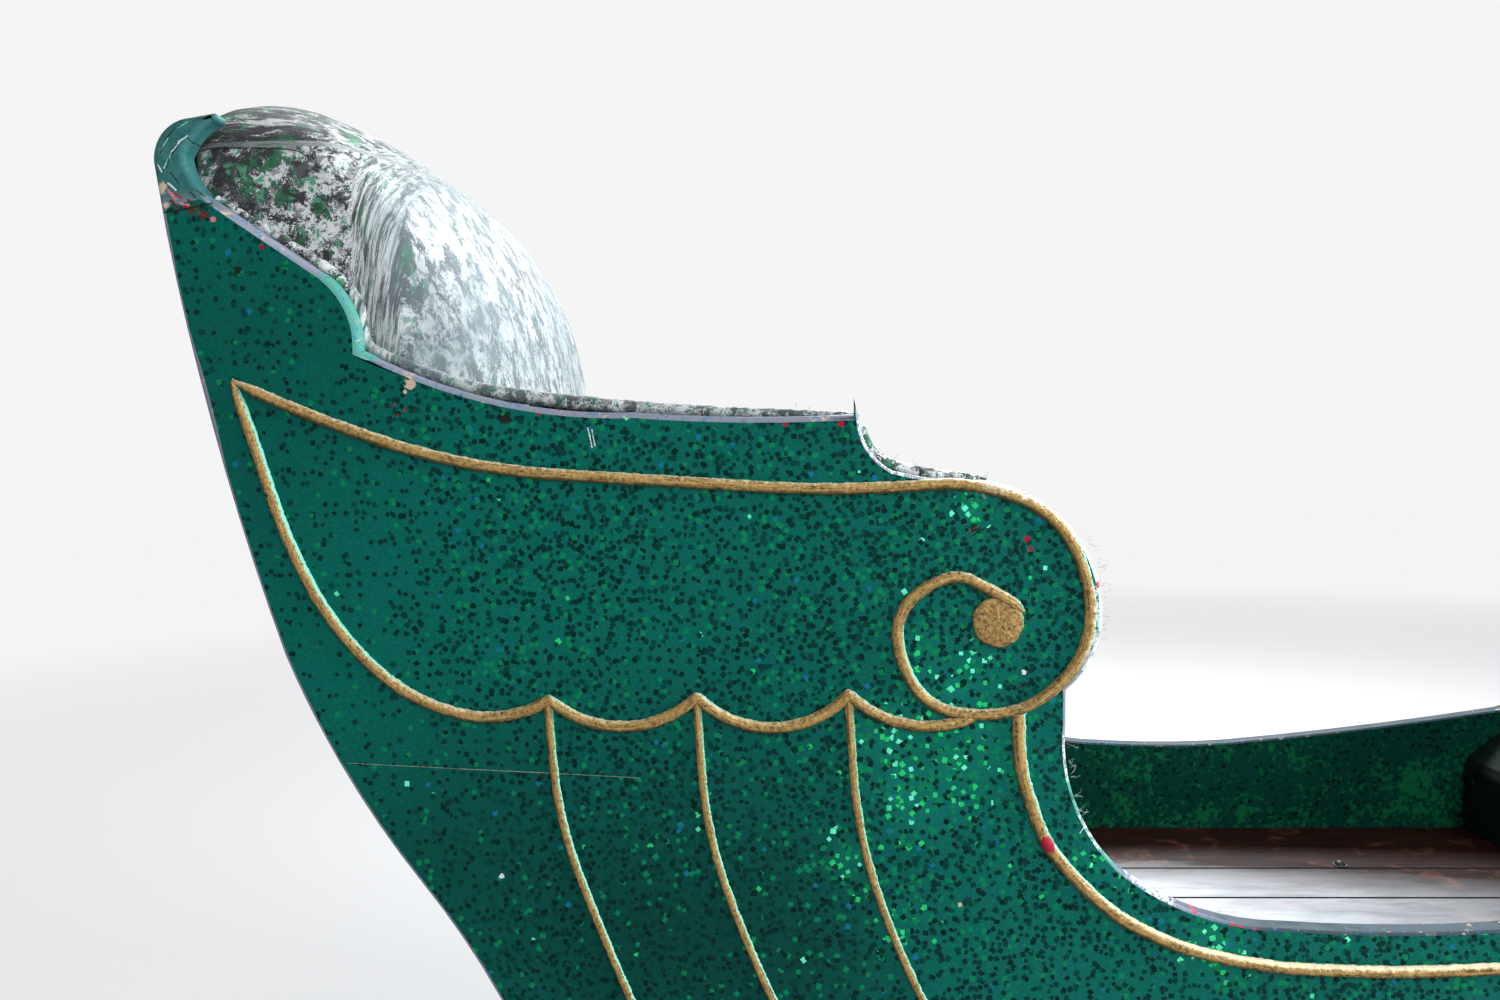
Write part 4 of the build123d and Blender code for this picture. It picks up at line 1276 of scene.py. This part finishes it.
def padSeam(side, inset=0.002):
    # the seam follows the top edge of the end only, and the front rounds into it without one
    ends = [point for point in padRing(1.0)[:pad["points"]] if point.y > 1296]
    return [Vector((point.x / 1000 + moveX, side * (innerHalf - inset), point.y / 1000)) for point in ends]


paddedBack = makePad()
seamed(paddedBack, [padSeam(-1), padSeam(1)])
subdivided(paddedBack)
dress(paddedBack, "back_cushion")
print("stage: padded back")


# Tubes along a path, for rolls, welts and threads: each path is (points, radii) in metres

def tubePiece(name, paths, material, step=0.003, sides=10, lump=0.0, lumpScale=70.0, seed=1.0):
    return runTree(curveObject(name, paths), ropeTree, {
        "Step": step, "Sides": sides, "Lump": lump, "Lump Scale": lumpScale, "Coarse": 2.0, "Fine": 0.0,
        "Seed": seed, "Material": material}, name)


def trim(piece, body):
    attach(piece, body)
    return piece


threadDark = speckled("seam thread", rgb(20, 20, 24), rgb(52, 52, 58), 700.0, Roughness=0.8)

# Roll of the same cloth along the inner edge of each side board: (x, z, radius) in mm
edgeRoll = {
    "rear": ((-612, 1268, 5), (-583, 1249, 6), (-537, 1219, 7), (-486, 1185, 7), (-463, 1155, 7),
             (-452, 1110, 6.5), (-400, 1083, 7), (-340, 1062, 8), (-260, 1049, 8), (-165, 1039, 7.5),
             (-60, 1032, 6.5), (20, 1029, 5), (70, 1027, 3.5)),
    "front": ((76, 1016, 3), (84, 992, 6), (106, 974, 7.5), (145, 964, 7), (182, 961, 5), (206, 957, 3.5)),
    "depth": 0.3755,
}
for side, label in bothSides:
    paths = []
    for key in ("rear", "front"):
        line = smoothPath([(x / 1000 + moveX, side * edgeRoll["depth"], z / 1000)
                           for x, z, radius in edgeRoll[key]])
        sizes = smoothPath([(radius / 1000, 0, 0) for x, z, radius in edgeRoll[key]])
        paths.append((line, [size.x for size in sizes]))
    roll = tubePiece(f"edge_roll_{label}", paths, jacquardCloth, 0.0025, 12, 0.0022, 75.0, 4.0)
    trim(roll, "sleigh")
    seam = padSeam(side, 0.0035)
    thread = tubePiece(f"pad_seam_{label}", [(seam, [0.0009] * len(seam))], threadDark, 0.004, 6)
    trim(thread, "sleigh")
print("stage: rolls and seams")


# Linings of the arms and the loose seat cushion

lining = {"voxel": 0.0065, "pressure": 2.0, "cap": 0.004}
for label in ("right", "left"):
    sleeve = mergedCopy(f"arm_lining_{label}", f"arm_lining_{label}_stuffed")
    sleeve.data.materials.append(jacquardCloth)
    stuffed(sleeve, lining["voxel"], lining["pressure"], lining["cap"], innerHalf - 0.0004)
    subdivided(sleeve)
    dress(sleeve, f"arm_lining_{label}")

seat = {"voxel": 0.008, "pressure": 5.0, "cap": 0.012, "crown": 0.016, "pinch": 0.010, "welt": 0.0042}


def makeSeatCushion():
    low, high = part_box("seat_cushion")
    low, high = Vector(low), Vector(high)
    middle, size = (low + high) / 2, (high - low) / 2
    work = bmesh.new()
    counts = (46, 58)
    grid = {}

    def spot(u, v, top):
        # sides pull in between the corners, the top crowns, the bottom rests flat
        edgeX = 1 - seat["pinch"] / size.x * (1 - v ** 2) * 0.9
        edgeY = 1 - seat["pinch"] / size.y * (1 - u ** 2) * 0.9
        rim = (1 - abs(u) ** 8) * (1 - abs(v) ** 8)
        z = high.z - 0.034 + 0.020 * rim ** 0.5 + seat["crown"] * (1 - u * u) * (1 - v * v) * 0.8
        if not top:
            z = low.z + 0.0005 + 0.010 * (1 - rim ** 0.35)
        return (middle.x + size.x * 0.985 * u * edgeX, middle.y + size.y * 0.985 * v * edgeY, z)

    for top in (0, 1):
        for i in range(counts[0] + 1):
            for j in range(counts[1] + 1):
                u, v = -1 + 2 * i / counts[0], -1 + 2 * j / counts[1]
                grid[top, i, j] = work.verts.new(spot(u, v, top))
        for i in range(counts[0]):
            for j in range(counts[1]):
                ring = [grid[top, i, j], grid[top, i + 1, j], grid[top, i + 1, j + 1], grid[top, i, j + 1]]
                work.faces.new(ring if top else ring[::-1])
    rim = [(i, 0) for i in range(counts[0])] + [(counts[0], j) for j in range(counts[1])]
    rim += [(i, counts[1]) for i in range(counts[0], 0, -1)] + [(0, j) for j in range(counts[1], 0, -1)]
    for first, second in zip(rim, rim[1:] + rim[:1]):
        work.faces.new((grid[0, *first], grid[0, *second], grid[1, *second], grid[1, *first]))
    outlineTop = [grid[1, *pair].co.copy() for pair in rim]
    outlineBottom = [grid[0, *pair].co.copy() for pair in rim]
    piece = meshObject("seat_cushion_stuffed", work, jacquardCloth)
    stuffed(piece, seat["voxel"], seat["pressure"], seat["cap"], high.y)
    for vert in piece.data.vertices:
        vert.co.z = max(vert.co.z, low.z + 0.0002)
        vert.co.x = min(vert.co.x, high.x)
    return piece, outlineTop + outlineTop[:1], outlineBottom + outlineBottom[:1]


seatCushion, topSeam, bottomSeam = makeSeatCushion()
seamed(seatCushion, [topSeam], 0.002, 0.0016, 0.026, 0.02, 8.0)
subdivided(seatCushion)
dress(seatCushion, "seat_cushion")
for name, line in (("seat_welt_top", topSeam), ("seat_welt_bottom", bottomSeam)):
    onCloth = []
    for point in line:
        found, nearest, normal, face = seatCushion.closest_point_on_mesh(point)
        onCloth.append(nearest + normal * 0.001)
    onCloth = [point + Vector((0, 0, 0.003 if name.endswith("bottom") else 0)) for point in onCloth]
    trim(tubePiece(name, [(onCloth, [seat["welt"]] * len(onCloth))], jacquardCloth, 0.004, 8, 0.0004, 120.0),
         "sleigh")
print("stage: linings and seat cushion")


# Deck

deck = {
    "dark": rgb(23, 10, 9), "light": rgb(46, 22, 17), "rings": rgb(24, 10, 9), "worn": rgb(92, 56, 42),
    # the painted shadow of the side boards on the deck
    "shadowBand": (0.13, 0.24),            # the stretch off the middle over which the varnish turns dull, in metres
    "eased": 0.0022,
}


def varnish():
    # dark wood under old varnish that has gone hazy, so that it takes a broad sheen from a window
    material, tree, shader = newMaterial(
        "deck varnish", Roughness=0.42, Specular_IOR_Level=0.7, Coat_Weight=0.9, Coat_Roughness=0.36,
        Coat_IOR=2.3, Coat_Tint=(0.78, 0.88, 1.0, 1.0))
    space = objectSpace(tree)
    grain = place(tree, grainGroup, {"Vector": space, "Along": (0.9, 14.0, 14.0), "Scale": 9.0})
    base = mix(tree, fade(tree, grain["Grain"], 0.35, 0.65), deck["dark"], deck["light"])
    base = mix(tree, fade(tree, grain["Rings"], 0.7, 1.0, 0.0, 0.4), base, deck["rings"])
    base = mix(tree, worn(tree, space, 22.0, 0.12, 0.08), base, deck["worn"])
    link(tree, base, shader.inputs["Base Color"])
    streaks = cloud(tree, vec(tree, "MULTIPLY", space, (1.0, 5.0, 1.0)), 11.0, 6.0, 0.62)
    scuffed = worn(tree, vec(tree, "MULTIPLY", space, (0.5, 1.6, 1.0)), 15.0, 0.20, 0.10)
    link(tree, fade(tree, streaks, 0.3, 0.7, 0.38, 0.52), shader.inputs["Roughness"])
    # painted shadow: the varnish loses its coat and shine beside the side boards, where their shadow lies on
    # the deck
    apart = parts(tree, space)
    ahead = times(tree, less(tree, apart[0], moveX + 0.40), 0.16)
    beside = plus(tree, calc(tree, "ABSOLUTE", apart[1]), ahead)
    beside = plus(tree, beside, times(tree, less(tree, streaks, 0.5), 0.10))
    glossy = fade(tree, beside, *deck["shadowBand"], 1.0, 0.03)
    glossy = times(tree, glossy, fade(tree, streaks, 0.30, 0.55, 0.55, 1.0))
    glossy = times(tree, glossy, less(tree, 1.0, times(tree, scuffed, 0.55)))
    link(tree, glossy, shader.inputs["Coat Weight"])
    link(tree, fade(tree, beside, *deck["shadowBand"], 0.85, 0.06), shader.inputs["Specular IOR Level"])
    link(tree, bump(tree, grain["Grain"], 0.15, 0.001), shader.inputs["Normal"])
    return material


jointDirt = speckled("dirt in the deck joints", rgb(10, 8, 8), rgb(40, 28, 24), 160.0, 5.0, Roughness=0.85,
                     Specular_IOR_Level=0.1)
softened("deck_boards", (varnish(), jointDirt), deck["eased"], 2)


# Running gear and shafts

gear = {
    "green": rgb(18, 62, 50), "greenLight": rgb(28, 80, 64), "bareWood": rgb(128, 104, 78),
    "ash": rgb(112, 64, 34), "ashLight": rgb(146, 90, 50), "rust": rgb(104, 58, 34),
    "iron": rgb(40, 40, 42), "ironLight": rgb(62, 60, 60), "steel": rgb(148, 144, 138),
    "steelDark": rgb(112, 108, 104), "scuffed": rgb(4, 16, 12), "scuffedLight": rgb(9, 26, 20),
    "brass": rgb(150, 116, 62), "brassDark": rgb(112, 82, 42),
}


def paintedWood(name, main, second, edgeAmount=0.12, along=(1.0, 10.0, 10.0), rough=0.5, shine=0.5):
    material, tree, shader = newMaterial(name, Roughness=rough, Specular_IOR_Level=shine)
    space = objectSpace(tree)
    grain = place(tree, grainGroup, {"Vector": space, "Along": along, "Scale": 14.0})
    base = mix(tree, fade(tree, grain["Grain"], 0.35, 0.65), main, second)
    bareWood = worn(tree, space, 34.0, edgeAmount)
    base = mix(tree, bareWood, base, gear["bareWood"])
    link(tree, base, shader.inputs["Base Color"])
    link(tree, fade(tree, grain["Grain"], 0.3, 0.7, rough + 0.12, rough - 0.06), shader.inputs["Roughness"])
    height = less(tree, grain["Grain"], times(tree, bareWood, 0.6))
    link(tree, bump(tree, height, 0.35, 0.001), shader.inputs["Normal"])
    return material


def metal(name, main, second, rough, metallic, rust=0.12):
    material, tree, shader = newMaterial(name, Roughness=rough)
    space = objectSpace(tree)
    base = mix(tree, cloud(tree, space, 60.0, 5.0, 0.6), main, second)
    rusty = worn(tree, space, 48.0, rust, 0.07)
    base = mix(tree, rusty, base, gear["rust"])
    link(tree, base, shader.inputs["Base Color"])
    link(tree, fade(tree, rusty, 0.0, 1.0, metallic, 0.1), shader.inputs["Metallic"])
    link(tree, fade(tree, rusty, 0.0, 1.0, rough, 0.8), shader.inputs["Roughness"])
    link(tree, bump(tree, cloud(tree, space, 180.0, 4.0, 0.6), 0.3, 0.0008), shader.inputs["Normal"])
    return material


gearPaint = paintedWood("gear paint", gear["green"], gear["greenLight"])
gearAcross = paintedWood("gear paint across", gear["green"], gear["greenLight"], along=(10.0, 1.0, 10.0))
shaftWood = paintedWood("shaft varnish", gear["ash"], gear["ashLight"], 0.06, rough=0.34)
ironMetal = metal("forged iron", gear["iron"], gear["ironLight"], 0.5, 0.8)
shoeSteel = metal("shoe steel", gear["steel"], gear["steelDark"], 0.32, 0.95, 0.18)

footPaint = paintedWood(
    "scuffed dark paint", gear["scuffed"], gear["scuffedLight"], 0.05, (8.0, 1.0, 8.0), 0.75, 0.1)
backPaint = glitterPaint("back paint with glitter", density=0.6)
# nodes that keep their form and get eased edges: slot, materials, width and steps of the easing, nodes
finishes = (
    ("green_paint", (backPaint, arrisPaint), 0.0018, 2,
     ("back_boards", "crest_board", "dash_boards", "dash_rail")),
    ("green_paint", (innerPaint, arrisPaint), 0.0018, 2, ("seat_riser",)),
    ("green_paint", (footPaint,), 0.0018, 2, ("toe_board", "foot_board")),
    ("gear_wood", (gearPaint,), 0.004, 3, ("body_sills", "runner_right", "runner_left")),
    ("gear_wood", (gearAcross,), 0.003, 3,
     ("seat_board", "seat_cleats", "benches", "knees_right", "knees_left", "draw_bar")),
    ("shaft_wood", (shaftWood,), 0.009, 4, ("shaft_right", "shaft_left")),
    ("shaft_wood", (shaftWood,), 0.004, 3, ("crossbar", "singletree")),
    ("iron", (ironMetal,), 0.0012, 2,
     ("braces_right", "braces_left", "shaft_couplings", "shaft_irons", "pivot_bolt", "trace_hooks")),
    ("steel", (shoeSteel,), 0.0015, 2, ("shoe_right", "shoe_left")),
)
for slot, materials, width, segments, names in finishes:
    for nodeName in names:
        softened(nodeName, materials, width, segments)
print("stage: running gear and shafts")


# Bolt heads, screws and tacks: each stands on the face that a ray finds

def pointsFacing(name, spots, headings):
    # bare points, each with the way it faces
    mesh = bpy.data.meshes.new(name)
    mesh.from_pydata(spots, [], [])
    facing = mesh.attributes.new("facing", "FLOAT_VECTOR", "POINT")
    for item, heading in zip(facing.data, headings):
        item.vector = heading
    return sceneObject(name, mesh)


def scattered(tree, inputs, output, shape, swing, turn, scale):
    # one copy of the shape on every point, turned to its facing with some swing, and spun by chance
    points = add(tree, "GeometryNodeMeshToPoints", {"Mesh": inputs["Geometry"]}).outputs[0]
    facing = add(tree, "GeometryNodeInputNamedAttribute", {
        "Name": "facing"}, data_type="FLOAT_VECTOR").outputs[0]
    if swing:
        wobble = add(tree, "FunctionNodeRandomValue", {
            "Min": (-swing,) * 3, "Max": (swing,) * 3, "Seed": inputs["Seed"]},
            data_type="FLOAT_VECTOR").outputs[0]
        facing = vec(tree, "ADD", facing, wobble)
    turned = add(tree, "FunctionNodeAlignRotationToVector", {"Vector": facing}, axis="Z").outputs[0]
    spin = add(tree, "FunctionNodeRandomValue", {
        "Max": turn, "Seed": inputs["Seed"]}, data_type="FLOAT").outputs[1]
    spin = add(tree, "ShaderNodeCombineXYZ", {2: spin}).outputs[0]
    spin = add(tree, "FunctionNodeEulerToRotation", {"Euler": spin}).outputs[0]
    turned = add(tree, "FunctionNodeRotateRotation", {
        "Rotation": turned, "Rotate By": spin}, rotation_space="LOCAL").outputs[0]
    copies = add(tree, "GeometryNodeInstanceOnPoints", {
        "Points": points, "Instance": shape, "Rotation": turned,
        "Scale": add(tree, "ShaderNodeCombineXYZ", {0: scale, 1: scale, 2: scale}).outputs[0]}).outputs[0]
    whole = add(tree, "GeometryNodeRealizeInstances", {"Geometry": copies}).outputs[0]
    whole = add(tree, "GeometryNodeSetMaterial", {
        "Geometry": whole, "Material": inputs["Material"]}).outputs[0]
    link(tree, whole, output)


studTree, tIn, tOut = geoTree("studs", (
    ("Girth", floatKind, 0.005), ("Washer", floatKind, 1.5), ("Crown", floatKind, 0.5),
    ("Seed", "NodeSocketInt", 3), ("Material", "NodeSocketMaterial", None)))
dome = add(studTree, "GeometryNodeMeshUVSphere", {"Segments": 12, "Rings": 8, "Radius": 1.0}).outputs[0]
crown = add(studTree, "ShaderNodeCombineXYZ", {0: 1.0, 1: 1.0, 2: tIn["Crown"]}).outputs[0]
dome = add(studTree, "GeometryNodeTransform", {"Geometry": dome, "Scale": crown}).outputs[0]
dome = add(studTree, "GeometryNodeSetShadeSmooth", {"Geometry": dome, "Shade Smooth": True}).outputs[0]
washer = add(studTree, "GeometryNodeMeshCylinder", {
    "Vertices": 14, "Radius": tIn["Washer"], "Depth": 0.36}).outputs[0]
head = add(studTree, "GeometryNodeJoinGeometry")
for shape in (dome, washer):
    studTree.links.new(shape, head.inputs[0])
scattered(studTree, tIn, tOut["Geometry"], head.outputs[0], 0.0, 3.1, tIn["Girth"])


def onFace(pieceName, start, heading):
    # start in mm of the drawing, heading as a vector: the point and normal of the face that the ray meets
    piece = bpy.data.objects[pieceName]
    begin = Vector((start[0] / 1000 + moveX, start[1] / 1000, start[2] / 1000))
    toWorld = piece.matrix_world
    turnBack = toWorld.to_3x3().inverted()
    hit, met, normal, index = piece.ray_cast(toWorld.inverted() @ begin, turnBack @ Vector(heading))
    return (toWorld @ met, (toWorld.to_3x3() @ normal).normalized()) if hit else None


def fromOutside(pieceName, x, side, z):
    return onFace(pieceName, (x, side * 500, z), (0, -side, 0))


def studs(name, spots, radius, material, body, washer=1.5, crown=0.5):
    found = [hit for hit in spots if hit]
    bare = pointsFacing(name, [foot for foot, normal in found], [normal for foot, normal in found])
    piece = runTree(bare, studTree, {
        "Girth": radius, "Washer": washer, "Crown": crown, "Material": material}, name)
    print("studs:", name, len(found), "of", len(spots))
    return trim(piece, body)


brassTack = metal("upholstery tack", gear["brass"], gear["brassDark"], 0.38, 0.9, 0.10)
boltPlaces = {
    "benches": (-230, 300, 830), "kneeHeights": (84, 176), "besideKnee": (34, -34), "nuts": (262, 290),
    "deck": (-217, 313, 843), "screws": range(-300, 1121, 142), "noseBolt": (1402, 250),
    "crossbar": (1793, 213),
}
bpy.context.view_layer.update()
carriageBolts, nuts, boardScrews, deckHeads, barBolts = [], [], [], [], []
for x in boltPlaces["benches"]:
    for side, label in bothSides:
        for z in boltPlaces["kneeHeights"]:
            carriageBolts.append(fromOutside(f"knees_{label}_finished", x, side, z))
        for gap in boltPlaces["besideKnee"]:
            carriageBolts.append(fromOutside(f"runner_{label}_finished", x + gap, side, 34))
        for y in boltPlaces["nuts"]:
            nuts.append(onFace("benches_finished", (x, side * y, 190), (0, 0, 1)))
for side, label in bothSides:
    x, z = boltPlaces["noseBolt"]
    carriageBolts.append(fromOutside(f"runner_{label}_finished", x, side, z))
    for x in boltPlaces["screws"]:
        boardScrews.append(fromOutside(f"side_board_lower_{label}_painted", x, side, 323))
    for x in boltPlaces["deck"]:
        deckHeads.append(onFace("deck_boards_finished", (x, side * 190, 360), (0, 0, -1)))
    x, z = boltPlaces["crossbar"]
    barBolts.append(fromOutside(f"shaft_{label}_finished", x, side, z))
studs("carriage_bolts", carriageBolts, 0.0075, ironMetal, "sleigh", 1.6, 0.55)
studs("bench_nuts", nuts, 0.0065, ironMetal, "sleigh", 1.7, 0.8)
studs("board_screws", boardScrews, 0.0046, ironMetal, "sleigh", 1.0, 0.35)
studs("deck_bolts", deckHeads, 0.0084, ironMetal, "sleigh", 1.3, 0.9)
studs("crossbar_bolts", barBolts, 0.0070, ironMetal, "shafts", 1.6, 0.5)
tackRow = {"count": 27, "pitch": 27, "endHeight": 1314, "rise": 62, "halfLength": 370}
tacks = []
for step in range(tackRow["count"]):
    y = (step - (tackRow["count"] - 1) / 2) * tackRow["pitch"]
    z = tackRow["endHeight"] + tackRow["rise"] * (1 - (y / tackRow["halfLength"]) ** 2)
    tacks.append(onFace("crest_board_finished", (-720, y, z), (1, 0, 0)))
studs("crest_tacks", tacks, 0.0042, brassTack, "sleigh", 0.9, 0.7)
print("stage: bolts, screws and tacks")


# Torn fibres at the rubbed rims and at the end of the arm's lining

fibreTree, tIn, tOut = geoTree("torn fibres", (
    ("Length", floatKind, 0.010), ("Seed", "NodeSocketInt", 5), ("Material", "NodeSocketMaterial", None)))
strand = add(fibreTree, "GeometryNodeCurveQuadraticBezier", {
    "Resolution": 5, "Start": (0, 0, 0), "Middle": (0.35, 0.15, 0.6), "End": (0.15, -0.1, 1.0)}).outputs[0]
thin = add(fibreTree, "GeometryNodeCurvePrimitiveCircle", {
    "Resolution": 3, "Radius": 0.02}, mode="RADIUS").outputs[0]
strand = add(fibreTree, "GeometryNodeCurveToMesh", {
    "Curve": strand, "Profile Curve": thin, "Fill Caps": True}).outputs[0]
span = add(fibreTree, "FunctionNodeRandomValue", {
    "Min": 0.35, "Max": 1.25, "Seed": tIn["Seed"]}, data_type="FLOAT").outputs[1]
scattered(fibreTree, tIn, tOut["Geometry"], strand, 0.9, 6.2, times(fibreTree, span, tIn["Length"]))

fibrePaint = speckled("torn fibres", rgb(206, 212, 214), rgb(84, 104, 108), 150.0, 3.0, (0.4, 0.6),
                      Roughness=0.9, Specular_IOR_Level=0.1)
# stretches of the rim by their ends in the picture: x, y, x, y, way out, strands
tornEdges = (
    (1097, 560, 1103, 600, (1.0, 0.2), 15), (1103, 600, 1101, 640, (1.0, 0.0), 13),
    (1085, 535, 1097, 560, (0.8, 0.5), 5), (1066, 735, 1071, 780, (1.0, 0.1), 13),
    (1074, 795, 1082, 818, (0.9, 0.4), 8), (1180, 905, 1230, 924, (0.3, 1.0), 5),
    (930, 474, 985, 480, (0.9, 0.5), 16), (880, 454, 925, 473, (0.8, 0.4), 9),
    (700, 413, 850, 415, (0.7, 0.4), 7), (395, 380, 560, 408, (0.7, 0.4), 12),
    (210, 204, 330, 272, (0.7, 0.3), 12),
)
scatter = random.Random(11)
starts, ways = [], []
for ax, ay, bx, by, (outX, outZ), count in tornEdges:
    for number in range(count):
        share = scatter.random()
        depth = scatter.uniform(-0.393, -0.380)
        starts.append(onSide(ax + (bx - ax) * share, ay + (by - ay) * share, depth))
        ways.append(Vector((outX, scatter.uniform(-0.4, 0.2), outZ)))
fibres = runTree(pointsFacing("torn fibres", starts, ways), fibreTree, {
    "Length": 0.010, "Material": fibrePaint}, "torn_fibres")
trim(fibres, "sleigh")
print("stage: torn fibres")


# Floor, backdrop and lamps

def floorMaterial():
    # pale floor: part of what the camera sees of it is its own plain tone, all of it further out
    material, tree, shader = newMaterial("pale floor", Roughness=0.9, Specular_IOR_Level=0.1)
    shader.inputs["Base Color"].default_value = (0.62, 0.62, 0.62, 1.0)
    far = fade(tree, vec(tree, "LENGTH", objectSpace(tree)), 2.2, 6.5)
    glow = add(tree, "ShaderNodeEmission", {"Color": (0.93, 0.93, 0.94, 1.0), "Strength": 0.97})
    share = times(tree, seenRays(tree), fade(tree, far, 0.0, 1.0, 0.42, 1.0))
    both = add(tree, "ShaderNodeMixShader", {0: share, 1: shader.outputs[0], 2: glow.outputs[0]})
    link(tree, both.outputs[0], tree.nodes["Material Output"].inputs["Surface"])
    return material


floorHalf = 14.0
floorMesh = bpy.data.meshes.new("floor")
corners = [(x * floorHalf, y * floorHalf, 0) for x, y in ((-1, -1), (1, -1), (1, 1), (-1, 1))]
floorMesh.from_pydata(corners, [], [(0, 1, 2, 3)])
floorMesh.materials.append(floorMaterial())
sceneObject("floor", floorMesh)

lights = {
    # name: (place, target, width, height, power, colour)
    "window": ((moveX + 1.35, 2.75, 3.45), (moveX + 0.30, 0.0, 0.5), 0.9, 0.9, 290.0, (0.92, 0.96, 1.0)),
    "front": ((moveX + 1.7, -3.4, 3.0), (moveX + 0.1, -0.4, 0.8), 1.7, 1.7, 80.0, (1.0, 1.0, 1.0)),
    "side": ((moveX + 3.4, -0.75, 1.9), (moveX - 0.2, -0.2, 1.0), 1.3, 1.3, 175.0, (0.96, 0.99, 1.0)),
}
for name, (stand, target, width, height, power, colour) in lights.items():
    lamp = bpy.data.lights.new(name, "AREA")
    lamp.shape = "RECTANGLE"
    lamp.size = width
    lamp.size_y = height
    lamp.energy = power
    lamp.color = colour
    obj = sceneObject(name, lamp)
    obj.location = stand
    obj.rotation_mode = "QUATERNION"
    obj.rotation_quaternion = (Vector(target) - Vector(stand)).to_track_quat("-Z", "Y")

world = bpy.data.worlds.new("studio")
bpy.context.scene.world = world
world.use_nodes = True
tree = world.node_tree
ground = tree.nodes["Background"]
ground.inputs["Color"].default_value = (0.96, 0.96, 0.97, 1.0)
link(tree, fade(tree, seenRays(tree), 0.0, 1.0, 0.33, 0.95), ground.inputs["Strength"])
bpy.context.scene.view_settings.view_transform = "Standard"

print("stage: finished")
